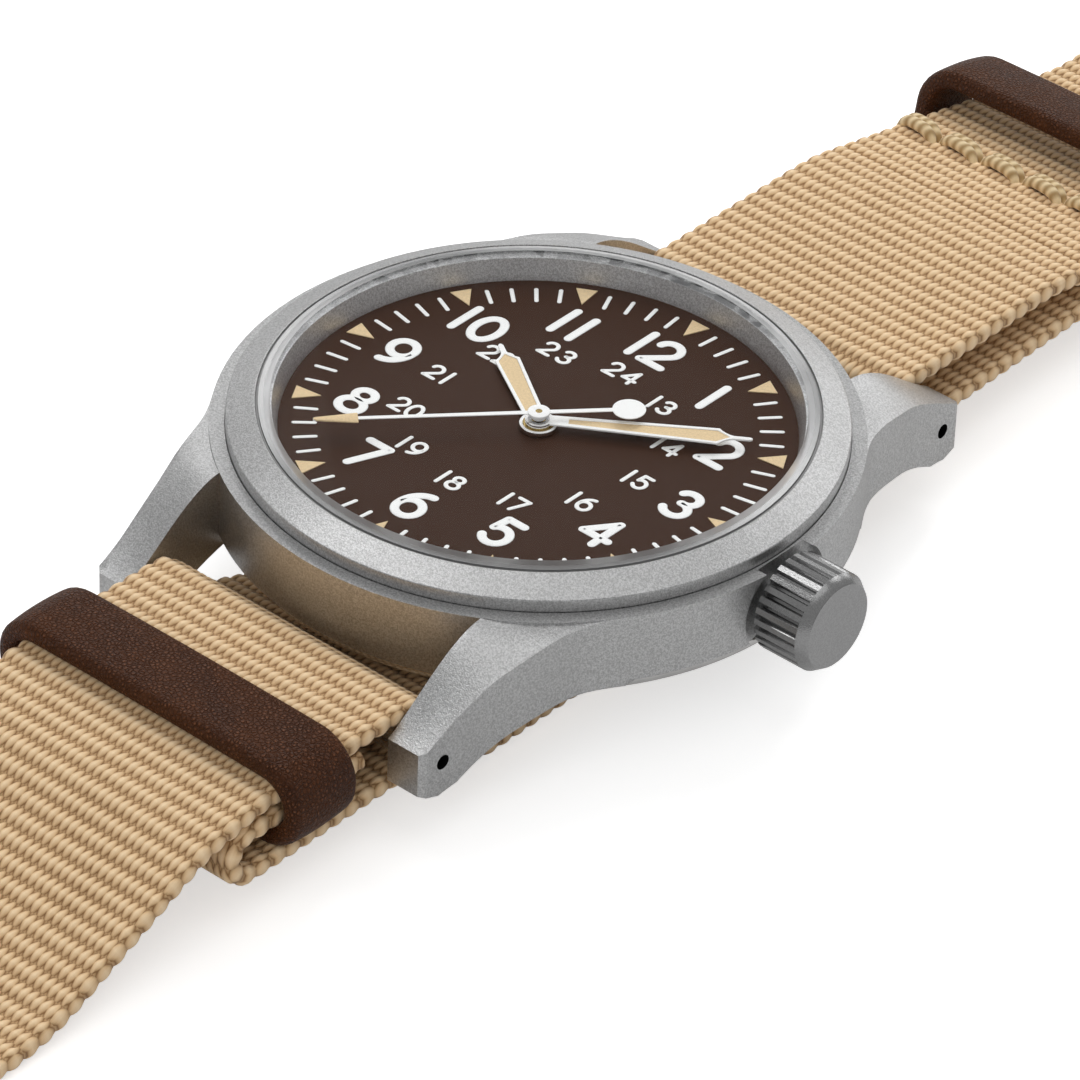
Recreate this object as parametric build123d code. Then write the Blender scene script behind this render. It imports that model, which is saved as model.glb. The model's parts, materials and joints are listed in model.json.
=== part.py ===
from build123d import *
import os
from math import acos, atan2, cos, degrees, hypot, pi, radians, sin, sqrt, tan

# Field watch: a round steel case with a hand-wound movement, on a one-piece woven strap that passes
# under the case, with a lower strip and two leather keepers. Millimetres. +Z rises out of the dial,
# +Y points to 12 o'clock, +X to the crown. The origin is on the dial axis, on the surface it lies on.

# Driving sizes
case_radius = 19.0
case_thickness = 9.5
strap_width = 19.8
strap_thickness = 1.35
strap_layer_gap = 0.1
lug_side_gap = 0.1
seat_gap = 0.02
running_gap = 0.05
cut_overrun = 1.0

# Levels of the case, measured down from the top of the glass
glass_edge_drop = 0.14
bezel_edge_drop = 0.93
ledge_drop = 1.71
shoulder_drop = 2.05
glass_thickness = 1.3
dial_drop = 2.68
band_bevel_drop = 6.1
band_bottom_drop = 6.5
bar_axis_drop = 7.15

# Walls and steps of the case, measured across its radius
case_wall_share = 0.184211
ledge_width = 0.95
band_bevel_width = 0.45
bezel_seat_width = 0.85
glass_seat_gap = 0.17
glass_bevel_width = 0.68
rehaut_foot_width = 0.45
rehaut_top_width = 0.1
dial_edge_gap = 0.06
movement_ring_width_share = 0.142105

# Lugs: reach past the case, drops from the top of the glass, and the shape of the top and the flank
lug_reach = 4.65
bar_reach = 3.0
lug_top_tip_drop = 6.0
lug_tip_bottom_drop = 8.87
lug_low_run = 1.35
lug_low_drop = 9.36
lug_belly_run = 2.75
lug_belly_drop = 9.12
lug_arch_run = 6.65
lug_arch_drop = 7.32
lug_band_run = 10.75
lug_tip_chamfer = 0.35
lug_hole_radius = 0.46
lug_blend_angle = 33.2
lug_root_share = 0.42
lug_top_start_share = 0.579
lug_outer_share = 1.02
lug_station_shares = (0, 0.15, 0.285, 0.458, 0.561, 0.704, 0.842, 1)
lug_inner_drop_shares = (0, 0, 0, 0.02, 0.126, 0.378, 0.681, 1)
lug_outer_drop_shares = (0, 0.06, 0.154, 0.431, 0.548, 0.709, 0.85, 1)
lug_flank_shares = ((1, 0), (0.805, 0.151), (0.631, 0.438), (0.542, 0.589), (0.466, 0.8), (0.441, 1))

# Case back
back_rim_width = 0.7
back_rim_height = 0.55
back_cone_width = 4.3
back_cone_height = 0.25
back_edge_width = 0.6
back_floor_thickness = 0.8
back_cavity_width = 0.9
back_spigot_gap = 0.2
back_spigot_height = 0.9
back_gasket_width = 0.5
back_gasket_height = 0.35

# Crown and stem
crown_radius = 3.05
crown_root_radius = 2.76
crown_face_radius = 2.62
crown_seat_gap = 0.02
crown_flute_length = 3.0
crown_bevel_length = 0.62
crown_flutes = 27
crown_flute_share = 0.5
crown_bore_radius = 1.75
crown_bore_depth = 2.3
crown_pocket_radius = 3.4
crown_pocket_depth = 0.8
crown_tube_radius = 1.25
crown_tube_bore = 0.6
crown_tube_inset = 0.1
crown_tube_reach = 2.0
crown_seal_radius = 1.7
crown_seal_reach = 0.3
crown_seal_length = 0.7
stem_radius = 0.55
stem_square = 0.8
stem_pilot_radius = 0.3

# Dial and its markers
dial_thickness = 0.4
dial_hole_gap = 0.16
marker_edge_gap = 0.6
marker_length = 1.6
marker_width = 1.3
marker_height = 0.06
hours_on_dial = 12

# Hands: heights above the dial, and lengths as shares of the markers' outer radius
hand_thickness = 0.12
hour_hand_height = 0.22
minute_hand_height = 0.5
seconds_hand_height = 1.03
hand_rim = 0.19
lume_gap = 0.01
hand_taper_shares = ((0.25, 0.6), (0.5, 0.32), (0.75, 0.12))
hand_tip_share = 0.4
hour_hand_angle = 302.5
hour_hand_length_share = 0.56747
hour_hand_shoulder_share = 0.45675
hour_hand_point_share = 0.50865
hour_hand_root = 1.2
hour_hand_root_width = 1.17
hour_hand_width = 1.5
hour_hand_needle_width = 0.34
hour_hub_rim = 0.2
hour_hub_height = 0.3
minute_hand_angle = 55.5
minute_hand_length_share = 0.85813
minute_hand_shoulder_share = 0.72111
minute_hand_point_share = 0.78201
minute_hand_root = 1.75
minute_hand_root_width = 0.85
minute_hand_width = 1.5
minute_hand_needle_width = 0.28
minute_hub_rim = 0.18
minute_hub_height = 0.26
seconds_hand_angle = 222.8
seconds_hand_length_share = 0.90242
seconds_hand_root_width = 0.33
seconds_hand_tip_width = 0.25
seconds_lume_length_share = 0.16609
seconds_lume_width = 0.34
seconds_tail_share = 0.36194
seconds_weight_radius = 0.98
seconds_hub_radius = 0.65
seconds_hub_height = 0.12
seconds_tube_radius = 0.4

# Movement: heights and depths below the dial's back, as shares of the movement's height
movement_floor_gap = 0.05
plate_share = 0.42669
motion_recess_share = 0.16353
stem_depth_share = 0.26128
bridge_depth_share = 0.92481
wheel_share = 0.03759
centre_wheel_share = 0.53947
ratchet_share = 0.04699
barrel_top_share = 0.56767
barrel_height_share = 0.27256
barrel_teeth_share = 0.65226
barrel_teeth_height_share = 0.05639
third_wheel_share = 0.75564
fourth_wheel_share = 0.89662
escape_wheel_share = 0.47368
fork_share = 0.4812
fork_thickness_share = 0.04135
escape_thickness_share = 0.0282
balance_share = 0.69925
balance_height_share = 0.09398
hairspring_share = 0.79323
hairspring_height_share = 0.03759
pinion_overhang_share = 0.0188
pivot_length_share = 0.05639
movement_ring_share = 0.6391
contrate_module_share = 0.028195
contrate_height_share = 0.04323
bracket_gap_share = 0.00564
bracket_share = 0.01692

# Movement: places and radii in plan, as shares of the movement's radius
barrel_distance_share = 0.515625
third_distance_share = 0.265625
escape_distance_share = 0.26953125
minute_wheel_distance_share = 0.234375
ratchet_distance_share = 0.375
balance_distance_share = 0.640625
balance_radius_share = 0.3203125
balance_window_share = 0.3515625
escape_radius_share = 0.15625
escape_root_share = 0.1171875
bridge_split_share = 0.09375
stem_pilot_share = 0.328125
stem_square_start_share = 0.46875
stem_square_end_share = 0.71875
sliding_start_share = 0.53515625
keyless_start_share = 0.4375
keyless_end_share = 0.859375
seconds_arbor_share = 0.015625
centre_arbor_share = 0.03125
cannon_tube_share = 0.0484375
hour_tube_share = 0.071875
pivot_share = 0.009375
jewel_share = 0.03125
foot_share = 0.0703125
cock_arm_share = 0.171875
cock_room_share = 0.515625
cock_tip_share = 0.1015625
cock_foot_share = 0.1328125
arbor_share = 0.0140625
fork_reach_share = 1.155
third_angle = 215.7
escape_angle = 118.0
minute_wheel_angle = 300.0
setting_angle = 27.0
balance_angle = 138.0
click_angle = 100.0

# Teeth: counts set the ratios, and one centre distance for each pair sets the module
addendum_share = 0.9
dedendum_share = 1.2
tooth_root_share = 0.2
tooth_tip_share = 0.05
half_share = 0.5
barrel_teeth = 60
centre_pinion_leaves = 10
centre_wheel_teeth = 48
third_pinion_leaves = 6
third_wheel_teeth = 45
fourth_pinion_leaves = 6
fourth_wheel_teeth = 60
escape_pinion_leaves = 6
escape_teeth = 15
cannon_leaves = 10
minute_wheel_teeth = 30
minute_pinion_leaves = 8
hour_wheel_teeth = 32
setting_wheel_teeth = 18
ratchet_teeth = 36
crown_wheel_teeth = 24
contrate_teeth = 21
winding_teeth = 14
winding_length = 1.15
spoke_width = 0.4
rim_width = 0.35
wheel_hub_radius = 0.55
wheel_spokes = 4

# Spring bars, measured across the strap's width
bar_radius = 0.9
bar_bore = 0.58
bar_tube_inset = 0.2
bar_tip_radius = 0.52
bar_tip_length = 2.4
bar_nose_radius = 0.4
bar_nose_length = 0.97
bar_nose_reach = 1.0
bar_spring_inset = 3.7
bar_spring_radius = 0.5
bar_spring_wall = 0.15

# Strap route: runs along Y, each from the station before it
strap_bar_gap = 0.3
strap_under_run = 7.8
strap_slot_drop = 2.855
strap_hump_run = 14.5
strap_slope_run = 25.0
strap_floor_run = 12.5
buckle_bar_run = 10.0
loop_rise_run = 4.0
tail_shoulder_run = 11.5
tail_knee_run = 4.5
tail_knee_drop = 0.85
tail_fall_run = 12.5
tail_run = 121.5
tail_tip_length = 8.0
tail_tip_steps = 6
tail_hole_radius = 1.0
tail_hole_pitch = 6.5
tail_holes = 10
tail_first_hole_run = 80.0
return_run = 13.5
lower_flat_run = 6.5
lower_knee_run = 0.5
lower_rise_run = 1.5
lower_long_run = 20.0
lower_end_run = 4.8
lower_rise_drop = 1.75
lower_run_drop = 1.3
lower_fold_run = 12.3
lower_return_run = 3.4
slot_bend_radius = 1.2
under_bend_radius = 4.0
gentle_radius = 14.0
knee_radius = 7.0

# Keepers and stitches
leather_thickness = 1.2
keeper_side_gap = 0.4
keeper_gap = 0.1
keeper_length = 5.1
keeper_corner = 2.2
keeper_inner_corner = 0.4
fixed_keeper_run = 8.15
sliding_keeper_run = 10.1
sliding_keeper_room = 1.5
stitch_count = 6
stitch_share = 0.76
stitch_radius = 0.3
stitch_row_run = 16.1

# Buckle
buckle_bar_radius = 0.75
loop_gap = 0.1
buckle_side_gap = 0.5
buckle_rail_width = 1.7
buckle_rail_height = 1.8
buckle_reach = 9.4
buckle_front_length = 1.8
buckle_heel = 1.5
tongue_width = 1.8
tongue_thickness = 0.8
tongue_curl_wall = 0.5
tongue_slot_width = 2.6
tongue_slot_length = 9.0

# Small parts of the movement
foot_inset = 1.15
screw_radius = 0.45
screw_head_radius = 0.7
screw_head_height = 0.25
screw_slot_width = 0.12
barrel_feet_angles = (100.0, -22.0)
train_feet_angles = (200.0, 275.0)
cock_foot_angle = 172.0
bridge_inset = 0.3
bridge_split_gap = 0.25
bridge_cut_angle = 60.0
cock_lift = 0.2
post_radius = 0.35
keyless_slot_half = 1.4
recess_margin = 0.3
drum_wall = 0.3
barrel_pivot_radius = 0.45
barrel_arbor_radius = 0.9
blade_steps = 20
spring_blade = 0.12
spring_turns = 6
spring_inner = 1.25
spring_outer_gap = 0.48
hair_blade = 0.08
hair_turns = 5
hair_inner = 0.45
hair_pitch = 0.42
hair_stud_radius = 0.16
escape_tooth_angle = 3.2
escape_rim = 0.3
stone_gap = 0.05
stone_length = 0.45
stone_width = 0.26
stone_angle = 30.0
fork_arm = 0.4
fork_horn = 0.28
fork_slot = 0.26
fork_horn_length = 0.45
impulse_radius = 0.55
impulse_pin_radius = 0.1
balance_rim_width = 0.55
roller_radius = 0.75
roller_thickness = 0.15
roller_gap = 0.06
contrate_tooth = 0.14
contrate_band = 0.5
bracket_half = 0.55
bracket_side_gap = 0.286
bracket_pillar_radius = 0.35
sliding_radius = 0.95
sliding_groove = 0.2
sliding_tooth = 0.3
sliding_teeth = 12
click_hub_radius = 0.55
click_seat = 0.926
click_beak_angle = 72.0
click_gap = 0.06
click_width = 0.45

# Radii that follow from the driving sizes
case_bore_radius = case_radius * (1 - case_wall_share)
bezel_radius = case_radius - ledge_width
bezel_bore_radius = case_bore_radius + bezel_seat_width
glass_radius = bezel_bore_radius - glass_seat_gap
glass_flat_radius = glass_radius - glass_bevel_width
band_bottom_radius = case_radius - band_bevel_width
rehaut_foot_radius = case_bore_radius - rehaut_foot_width
rehaut_top_radius = case_bore_radius - rehaut_top_width
dial_radius = case_bore_radius - dial_edge_gap
marker_outer_radius = rehaut_foot_radius - marker_edge_gap
back_rim_radius = case_radius - back_rim_width
back_cone_radius = back_rim_radius - back_cone_width
back_flat_radius = back_cone_radius - back_edge_width
back_cavity_radius = case_bore_radius - back_cavity_width
back_spigot_radius = case_bore_radius - back_spigot_gap
movement_radius = case_bore_radius - case_radius * movement_ring_width_share
foot_circle = movement_radius - foot_inset
bridge_radius = movement_radius - bridge_inset

# Places along X that follow
lug_gap = strap_width + 2 * lug_side_gap
crown_start_x = case_radius - crown_seat_gap
crown_flute_end_x = crown_start_x + crown_flute_length
crown_end_x = crown_flute_end_x + crown_bevel_length
crown_pocket_x = case_radius - crown_pocket_depth
crown_tube_start_x = case_bore_radius + crown_tube_inset
crown_tube_end_x = case_radius + crown_tube_reach
crown_seal_start_x = case_radius + crown_seal_reach
stem_pilot_start_x = movement_radius * stem_pilot_share
stem_square_start_x = movement_radius * stem_square_start_share
stem_square_end_x = movement_radius * stem_square_end_share
sliding_start_x = movement_radius * sliding_start_share
keyless_slot_start_x = movement_radius * keyless_start_share
keyless_slot_end_x = movement_radius * keyless_end_share
bar_tube_half = strap_width / 2 - bar_tube_inset
bar_spring_half = strap_width / 2 - bar_spring_inset
bar_tip_start_x = strap_width / 2 - bar_tip_length
bar_nose_end_x = strap_width / 2 + bar_nose_reach
bar_nose_start_x = bar_nose_end_x - bar_nose_length
buckle_inner_half = strap_width / 2 + buckle_side_gap

# Places along Y that follow
lug_tip_y = case_radius + lug_reach
bar_axis_y = case_radius + bar_reach
strap_under_half = bar_axis_y - strap_under_run
strap_hump_end_y = bar_axis_y + strap_hump_run
strap_floor_y = strap_hump_end_y + strap_slope_run
strap_rise_y = strap_floor_y + strap_floor_run
buckle_bar_y = strap_rise_y + buckle_bar_run
buckle_front_y = buckle_bar_y + buckle_reach
tail_shoulder_y = bar_axis_y + tail_shoulder_run
tail_knee_y = tail_shoulder_y + tail_knee_run
tail_floor_y = tail_knee_y + tail_fall_run
tail_end_y = tail_floor_y + tail_run
tail_first_hole_y = tail_end_y - tail_first_hole_run
return_end_y = strap_floor_y - return_run
lower_flat_half = bar_axis_y - lower_flat_run
lower_knee_y = bar_axis_y - lower_knee_run
lower_rise_y = bar_axis_y + lower_rise_run
lower_run_y = bar_axis_y + lower_long_run
lower_start_y = lower_run_y + lower_end_run
lower_fold_y = bar_axis_y + lower_fold_run
lower_end_y = bar_axis_y + lower_return_run
fixed_keeper_y = bar_axis_y + fixed_keeper_run
sliding_keeper_y = strap_floor_y - sliding_keeper_run
stitch_row_y = strap_floor_y - stitch_row_run

# Levels that follow
back_bottom_z = 2 * (strap_thickness + strap_layer_gap)
glass_top_z = back_bottom_z + case_thickness
glass_under_z = glass_top_z - glass_thickness
shoulder_z = glass_top_z - shoulder_drop
ledge_z = glass_top_z - ledge_drop
dial_z = glass_top_z - dial_drop
band_bottom_z = glass_top_z - band_bottom_drop
bar_z = glass_top_z - bar_axis_drop
dial_back_z = dial_z - dial_thickness
movement_floor_z = back_bottom_z + back_floor_thickness + screw_head_height + movement_floor_gap
movement_height = dial_back_z - movement_floor_z
crown_z = dial_back_z - movement_height * stem_depth_share
plate_back_z = dial_back_z - movement_height * plate_share
motion_floor_z = dial_back_z - movement_height * motion_recess_share
bridge_top_z = dial_back_z - movement_height * bridge_depth_share
bridge_back_z = movement_floor_z
lume_height = hand_thickness / 2
lower_rise_z = bar_z - lower_rise_drop
lower_run_z = bar_z - lower_run_drop

# Sizes of the movement that follow
wheel_thickness = movement_height * wheel_share
ratchet_thickness = movement_height * ratchet_share
escape_thickness = movement_height * escape_thickness_share
fork_thickness = movement_height * fork_thickness_share
barrel_height = movement_height * barrel_height_share
barrel_teeth_height = movement_height * barrel_teeth_height_share
balance_height = movement_height * balance_height_share
hairspring_height = movement_height * hairspring_height_share
pinion_overhang = movement_height * pinion_overhang_share
pivot_length = movement_height * pivot_length_share
contrate_module = movement_height * contrate_module_share
contrate_height = movement_height * contrate_height_share
bracket_gap = movement_height * bracket_gap_share
bracket_thickness = movement_height * bracket_share
barrel_distance = movement_radius * barrel_distance_share
third_distance = movement_radius * third_distance_share
escape_distance = movement_radius * escape_distance_share
minute_wheel_distance = movement_radius * minute_wheel_distance_share
ratchet_distance = movement_radius * ratchet_distance_share
balance_distance = movement_radius * balance_distance_share
balance_radius = movement_radius * balance_radius_share
balance_window_radius = movement_radius * balance_window_share
escape_radius = movement_radius * escape_radius_share
escape_root_radius = movement_radius * escape_root_share
bridge_split = movement_radius * bridge_split_share
seconds_arbor_radius = movement_radius * seconds_arbor_share
centre_arbor_radius = movement_radius * centre_arbor_share
cannon_tube_radius = movement_radius * cannon_tube_share
hour_tube_radius = movement_radius * hour_tube_share
pivot_radius = movement_radius * pivot_share
arbor_radius = movement_radius * arbor_share
jewel_radius = movement_radius * jewel_share
foot_radius = movement_radius * foot_share
cock_arm_width = movement_radius * cock_arm_share
cock_arm_room = movement_radius * cock_room_share
cock_tip_radius = movement_radius * cock_tip_share
cock_foot_radius = movement_radius * cock_foot_share
centre_arbor_bore = seconds_arbor_radius + running_gap
cannon_bore = centre_arbor_radius + seat_gap
hour_tube_bore = cannon_tube_radius + running_gap
dial_hole_radius = hour_tube_radius + dial_hole_gap
hour_hub_radius = hour_tube_radius + hour_hub_rim
minute_hub_radius = cannon_tube_radius + minute_hub_rim

# Lengths of the hands that follow
hour_hand_length = marker_outer_radius * hour_hand_length_share
hour_hand_shoulder = marker_outer_radius * hour_hand_shoulder_share
hour_hand_point = marker_outer_radius * hour_hand_point_share
minute_hand_length = marker_outer_radius * minute_hand_length_share
minute_hand_shoulder = marker_outer_radius * minute_hand_shoulder_share
minute_hand_point = marker_outer_radius * minute_hand_point_share
seconds_hand_length = marker_outer_radius * seconds_hand_length_share
seconds_tail = marker_outer_radius * seconds_tail_share
seconds_lume_length = marker_outer_radius * seconds_lume_length_share


# Simple solids
def disc(radius, low, high, x=0, y=0):
    """An upright cylinder between two levels."""
    return Pos(x, y, low) * Cylinder(radius, high - low, align=(Align.CENTER, Align.CENTER, Align.MIN))


def ring(outer, inner, low, high, x=0, y=0):
    """An upright tube between two levels."""
    return disc(outer, low, high, x, y) - disc(inner, low - cut_overrun, high + cut_overrun, x, y)


def rod_x(radius, start, end, y=0, z=0):
    """A cylinder along X."""
    return Pos(start, y, z) * Rot(0, 90, 0) * Cylinder(
        radius, end - start, align=(Align.CENTER, Align.CENTER, Align.MIN))


def block(x_low, x_high, y_low, y_high, z_low, z_high):
    """A box between six planes."""
    corner = (Align.MIN, Align.MIN, Align.MIN)
    return Pos(x_low, y_low, z_low) * Box(x_high - x_low, y_high - y_low, z_high - z_low, align=corner)


def turned(profile):
    """A solid turned about the dial axis from radius and height pairs."""
    outline = Polyline(*[Vector(radius, 0, height) for radius, height in profile], close=True)
    return revolve(make_face(outline), axis=Axis.Z)


def plan(points, low, high):
    """A straight-sided solid standing on an outline of X and Y pairs."""
    face = make_face(Polyline(*[Vector(x, y, low) for x, y in points], close=True))
    return extrude(face, amount=high - low, dir=(0, 0, 1))


def polar(radius, angle, x=0, y=0):
    """A point at an angle in degrees round a centre."""
    return x + radius * cos(radians(angle)), y + radius * sin(radians(angle))


def four_ways(solid):
    """The solid and its mirror images across the two upright planes."""
    right = solid + mirror(solid, about=Plane.XZ)
    return right + mirror(right, about=Plane.YZ)


# Strap ribbons: straight runs and tangent arcs in the YZ plane, with an even thickness
def unit(start, end):
    length = hypot(end[0] - start[0], end[1] - start[1])
    return (end[0] - start[0]) / length, (end[1] - start[1]) / length


def along(point, direction, distance):
    return point[0] + direction[0] * distance, point[1] + direction[1] * distance


def left_of(direction):
    return -direction[1], direction[0]


def ribbon(points, radii, thickness, width):
    """A band whose middle follows the points, each corner rounded by its radius."""
    runs = [unit(start, end) for start, end in zip(points, points[1:])]
    spatial = lambda point: Vector(0, point[0], point[1])
    edges = []
    ends = []
    for side in (thickness / 2, -thickness / 2):
        pen = along(points[0], left_of(runs[0]), side)
        ends.append(pen)
        for corner, radius, before, after in zip(points[1:-1], radii, runs, runs[1:]):
            turn = atan2(before[0] * after[1] - before[1] * after[0],
                         before[0] * after[0] + before[1] * after[1])
            way = 1 if turn > 0 else -1
            trim = radius * tan(abs(turn) / 2)
            entry = along(corner, before, -trim)
            middle = along(entry, left_of(before), radius * way)
            inward = unit((0, 0), along(left_of(before), left_of(after), 1))
            arc_start = along(entry, left_of(before), side)
            arc_end = along(along(corner, after, trim), left_of(after), side)
            arc_top = along(middle, inward, -way * (radius - way * side))
            if hypot(arc_start[0] - pen[0], arc_start[1] - pen[1]) > seat_gap:
                edges.append(Line(spatial(pen), spatial(arc_start)))
            else:
                arc_start = pen
            edges.append(ThreePointArc(spatial(arc_start), spatial(arc_top), spatial(arc_end)))
            pen = arc_end
        last = along(points[-1], left_of(runs[-1]), side)
        edges.append(Line(spatial(pen), spatial(last)))
        ends.append(last)
    edges.append(Line(spatial(ends[0]), spatial(ends[2])))
    edges.append(Line(spatial(ends[1]), spatial(ends[3])))
    return extrude(make_face(edges), amount=width / 2, both=True)


# Toothed pieces
def gear_outline(teeth, module, phase, x=0, y=0, flat_tip=True):
    """Tooth outline: root, flank and tip points round a centre, the first tooth at the phase angle."""
    pitch_angle = 360 / teeth
    pitch_radius = module * teeth / 2
    tip = pitch_radius + addendum_share * module
    root = pitch_radius - dedendum_share * module
    points = []
    for tooth in range(teeth):
        middle = phase + tooth * pitch_angle
        points.append(polar(root, middle - tooth_root_share * pitch_angle, x, y))
        if flat_tip:
            points.append(polar(tip, middle - tooth_tip_share * pitch_angle, x, y))
            points.append(polar(tip, middle + tooth_tip_share * pitch_angle, x, y))
        else:
            points.append(polar(tip, middle, x, y))
        points.append(polar(root, middle + tooth_root_share * pitch_angle, x, y))
    return points


def gear(teeth, module, low, high, phase, x=0, y=0, flat_tip=True):
    return plan(gear_outline(teeth, module, phase, x, y, flat_tip), low, high)


def meshed_phase(direction, teeth, phase, other_teeth):
    """Phase of a wheel that lies in the given direction, so a tooth stands in the first wheel's gap."""
    offset = (phase - direction) * teeth / 360
    return direction + 180 + (half_share - offset) * 360 / other_teeth


def crossings(root_radius, low, high, x, y, turn):
    """The windows between a wheel's spokes."""
    windows = []
    outer = root_radius - rim_width
    inner = wheel_hub_radius
    for spoke in range(wheel_spokes):
        start = turn + spoke * 360 / wheel_spokes
        half_outer = degrees(spoke_width / 2 / outer)
        half_inner = degrees(spoke_width / 2 / inner)
        stop = start + 360 / wheel_spokes
        outline = [polar(inner, start + half_inner, x, y), polar(outer, start + half_outer, x, y)]
        outline += [polar(outer, (start + stop) / 2, x, y), polar(outer, stop - half_outer, x, y)]
        outline.append(polar(inner, stop - half_inner, x, y))
        windows.append(plan(outline, low - cut_overrun, high + cut_overrun))
    return windows


def spoked_gear(teeth, module, low, high, phase, x=0, y=0):
    """A wheel with pointed teeth, a rim, spokes and a hub."""
    wheel = gear(teeth, module, low, high, phase, x, y, flat_tip=False)
    root_radius = module * teeth / 2 - dedendum_share * module
    for window in crossings(root_radius, low, high, x, y, phase):
        wheel -= window
    return wheel


def arbor(x, y, low, high, radius=arbor_radius):
    """A shaft with a thinner pivot at each end."""
    shaft = disc(radius, low, high, x, y)
    return shaft + disc(pivot_radius, low - pivot_length, high + pivot_length, x, y)


# Centres, modules and phases of the train
def module_of(distance, teeth, leaves):
    return 2 * distance / (teeth + leaves)


crown_wheel_module = module_of(ratchet_distance, ratchet_teeth, crown_wheel_teeth)
contrate_radius = contrate_module * contrate_teeth / 2
winding_radius = contrate_module * winding_teeth / 2
winding_start_x = stem_square_end_x + running_gap
crown_wheel_x = winding_start_x + winding_length / 2 - contrate_radius
crown_wheel_y = 0.0
barrel_cosine_share = (barrel_distance ** 2 + crown_wheel_x ** 2 - ratchet_distance ** 2) / (
    2 * barrel_distance * crown_wheel_x)
barrel_angle = degrees(acos(barrel_cosine_share))
barrel_x, barrel_y = polar(barrel_distance, barrel_angle)
third_x, third_y = polar(third_distance, third_angle)
escape_x, escape_y = polar(escape_distance, escape_angle)
minute_wheel_x, minute_wheel_y = polar(minute_wheel_distance, minute_wheel_angle)
balance_x, balance_y = polar(balance_distance, balance_angle)

barrel_module = module_of(barrel_distance, barrel_teeth, centre_pinion_leaves)
centre_module = module_of(third_distance, centre_wheel_teeth, third_pinion_leaves)
third_module = module_of(third_distance, third_wheel_teeth, fourth_pinion_leaves)
fourth_module = module_of(escape_distance, fourth_wheel_teeth, escape_pinion_leaves)
motion_module = module_of(minute_wheel_distance, minute_wheel_teeth, cannon_leaves)
hour_module = module_of(minute_wheel_distance, hour_wheel_teeth, minute_pinion_leaves)
hour_wheel_radius = hour_module * hour_wheel_teeth / 2
setting_distance = motion_module * (minute_wheel_teeth + setting_wheel_teeth) / 2
setting_x, setting_y = polar(setting_distance, setting_angle, minute_wheel_x, minute_wheel_y)

centre_pinion_phase = 0.0
barrel_phase = meshed_phase(barrel_angle, centre_pinion_leaves, centre_pinion_phase, barrel_teeth)
centre_wheel_phase = 0.0
third_pinion_phase = meshed_phase(third_angle, centre_wheel_teeth, centre_wheel_phase, third_pinion_leaves)
fourth_pinion_phase = 0.0
third_wheel_phase = meshed_phase(third_angle, fourth_pinion_leaves, fourth_pinion_phase, third_wheel_teeth)
fourth_wheel_phase = 0.0
escape_pinion_phase = meshed_phase(escape_angle, fourth_wheel_teeth, fourth_wheel_phase,
                                   escape_pinion_leaves)
cannon_phase = 0.0
minute_wheel_phase = meshed_phase(minute_wheel_angle, cannon_leaves, cannon_phase, minute_wheel_teeth)
hour_wheel_phase = 0.0
minute_pinion_phase = meshed_phase(
    minute_wheel_angle, hour_wheel_teeth, hour_wheel_phase, minute_pinion_leaves)
setting_phase = meshed_phase(setting_angle, minute_wheel_teeth, minute_wheel_phase, setting_wheel_teeth)
ratchet_phase = 0.0
ratchet_direction = degrees(atan2(crown_wheel_y - barrel_y, crown_wheel_x - barrel_x))
crown_wheel_phase = meshed_phase(ratchet_direction, ratchet_teeth, ratchet_phase, crown_wheel_teeth)

pieces = {}


# Case
def lug_profile(x, drop_shares):
    """Side outline of a lug at one distance from the dial axis: falling top, straight tip, hollow belly."""
    point = lambda y, z: Vector(x, y, z)
    top = glass_top_z
    top_start_y = case_radius * lug_top_start_share
    reach = lug_tip_y - top_start_y
    fall = ledge_z - (top - lug_top_tip_drop)
    crest = [point(top_start_y + reach * along_share, ledge_z - fall * drop)
             for along_share, drop in zip(lug_station_shares, drop_shares)]
    root = point(case_radius * lug_root_share, ledge_z)
    tip_bottom = point(lug_tip_y, top - lug_tip_bottom_drop)
    low = point(lug_tip_y - lug_low_run, top - lug_low_drop)
    belly = point(lug_tip_y - lug_belly_run, top - lug_belly_drop)
    arch = point(lug_tip_y - lug_arch_run, top - lug_arch_drop)
    band = point(lug_tip_y - lug_band_run, band_bottom_z)
    root_bottom = point(case_radius * lug_root_share, band_bottom_z)
    edges = [Line(root, crest[0]), Spline(*crest), Line(crest[-1], tip_bottom)]
    edges += [Line(tip_bottom, low), Line(low, belly), ThreePointArc(belly, arch, band)]
    edges += [Line(band, root_bottom), Line(root_bottom, root)]
    return make_face(edges)


def make_lug():
    """A lug whose flank leaves the round band without a kink and narrows to the tip."""
    half = lug_gap / 2
    blend_x, blend_y = polar(case_radius, lug_blend_angle)
    inner = lug_profile(half - seat_gap, lug_inner_drop_shares)
    outer = lug_profile(blend_x * lug_outer_share, lug_outer_drop_shares)
    body = loft([inner, outer], ruled=True)
    point = lambda x, y: Vector(x, y, 0)
    flank = [point(half + (blend_x - half) * across,
                   blend_y + (lug_tip_y - lug_tip_chamfer - blend_y) * reach)
             for across, reach in lug_flank_shares]
    tip_end = point(flank[-1].X - lug_tip_chamfer, lug_tip_y)
    root_y = case_radius * lug_root_share
    leaving = Vector(-sin(radians(lug_blend_angle)), cos(radians(lug_blend_angle)), 0)
    edges = [Line(point(half, root_y), point(half, lug_tip_y)), Line(point(half, lug_tip_y), tip_end)]
    edges += [Line(tip_end, flank[-1]), Spline(*flank, tangents=(leaving, Vector(0, 1, 0)))]
    edges += [Line(flank[0], point(blend_x, root_y)), Line(point(blend_x, root_y), point(half, root_y))]
    return body & extrude(make_face(edges), amount=ledge_z, dir=(0, 0, 1))


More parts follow.
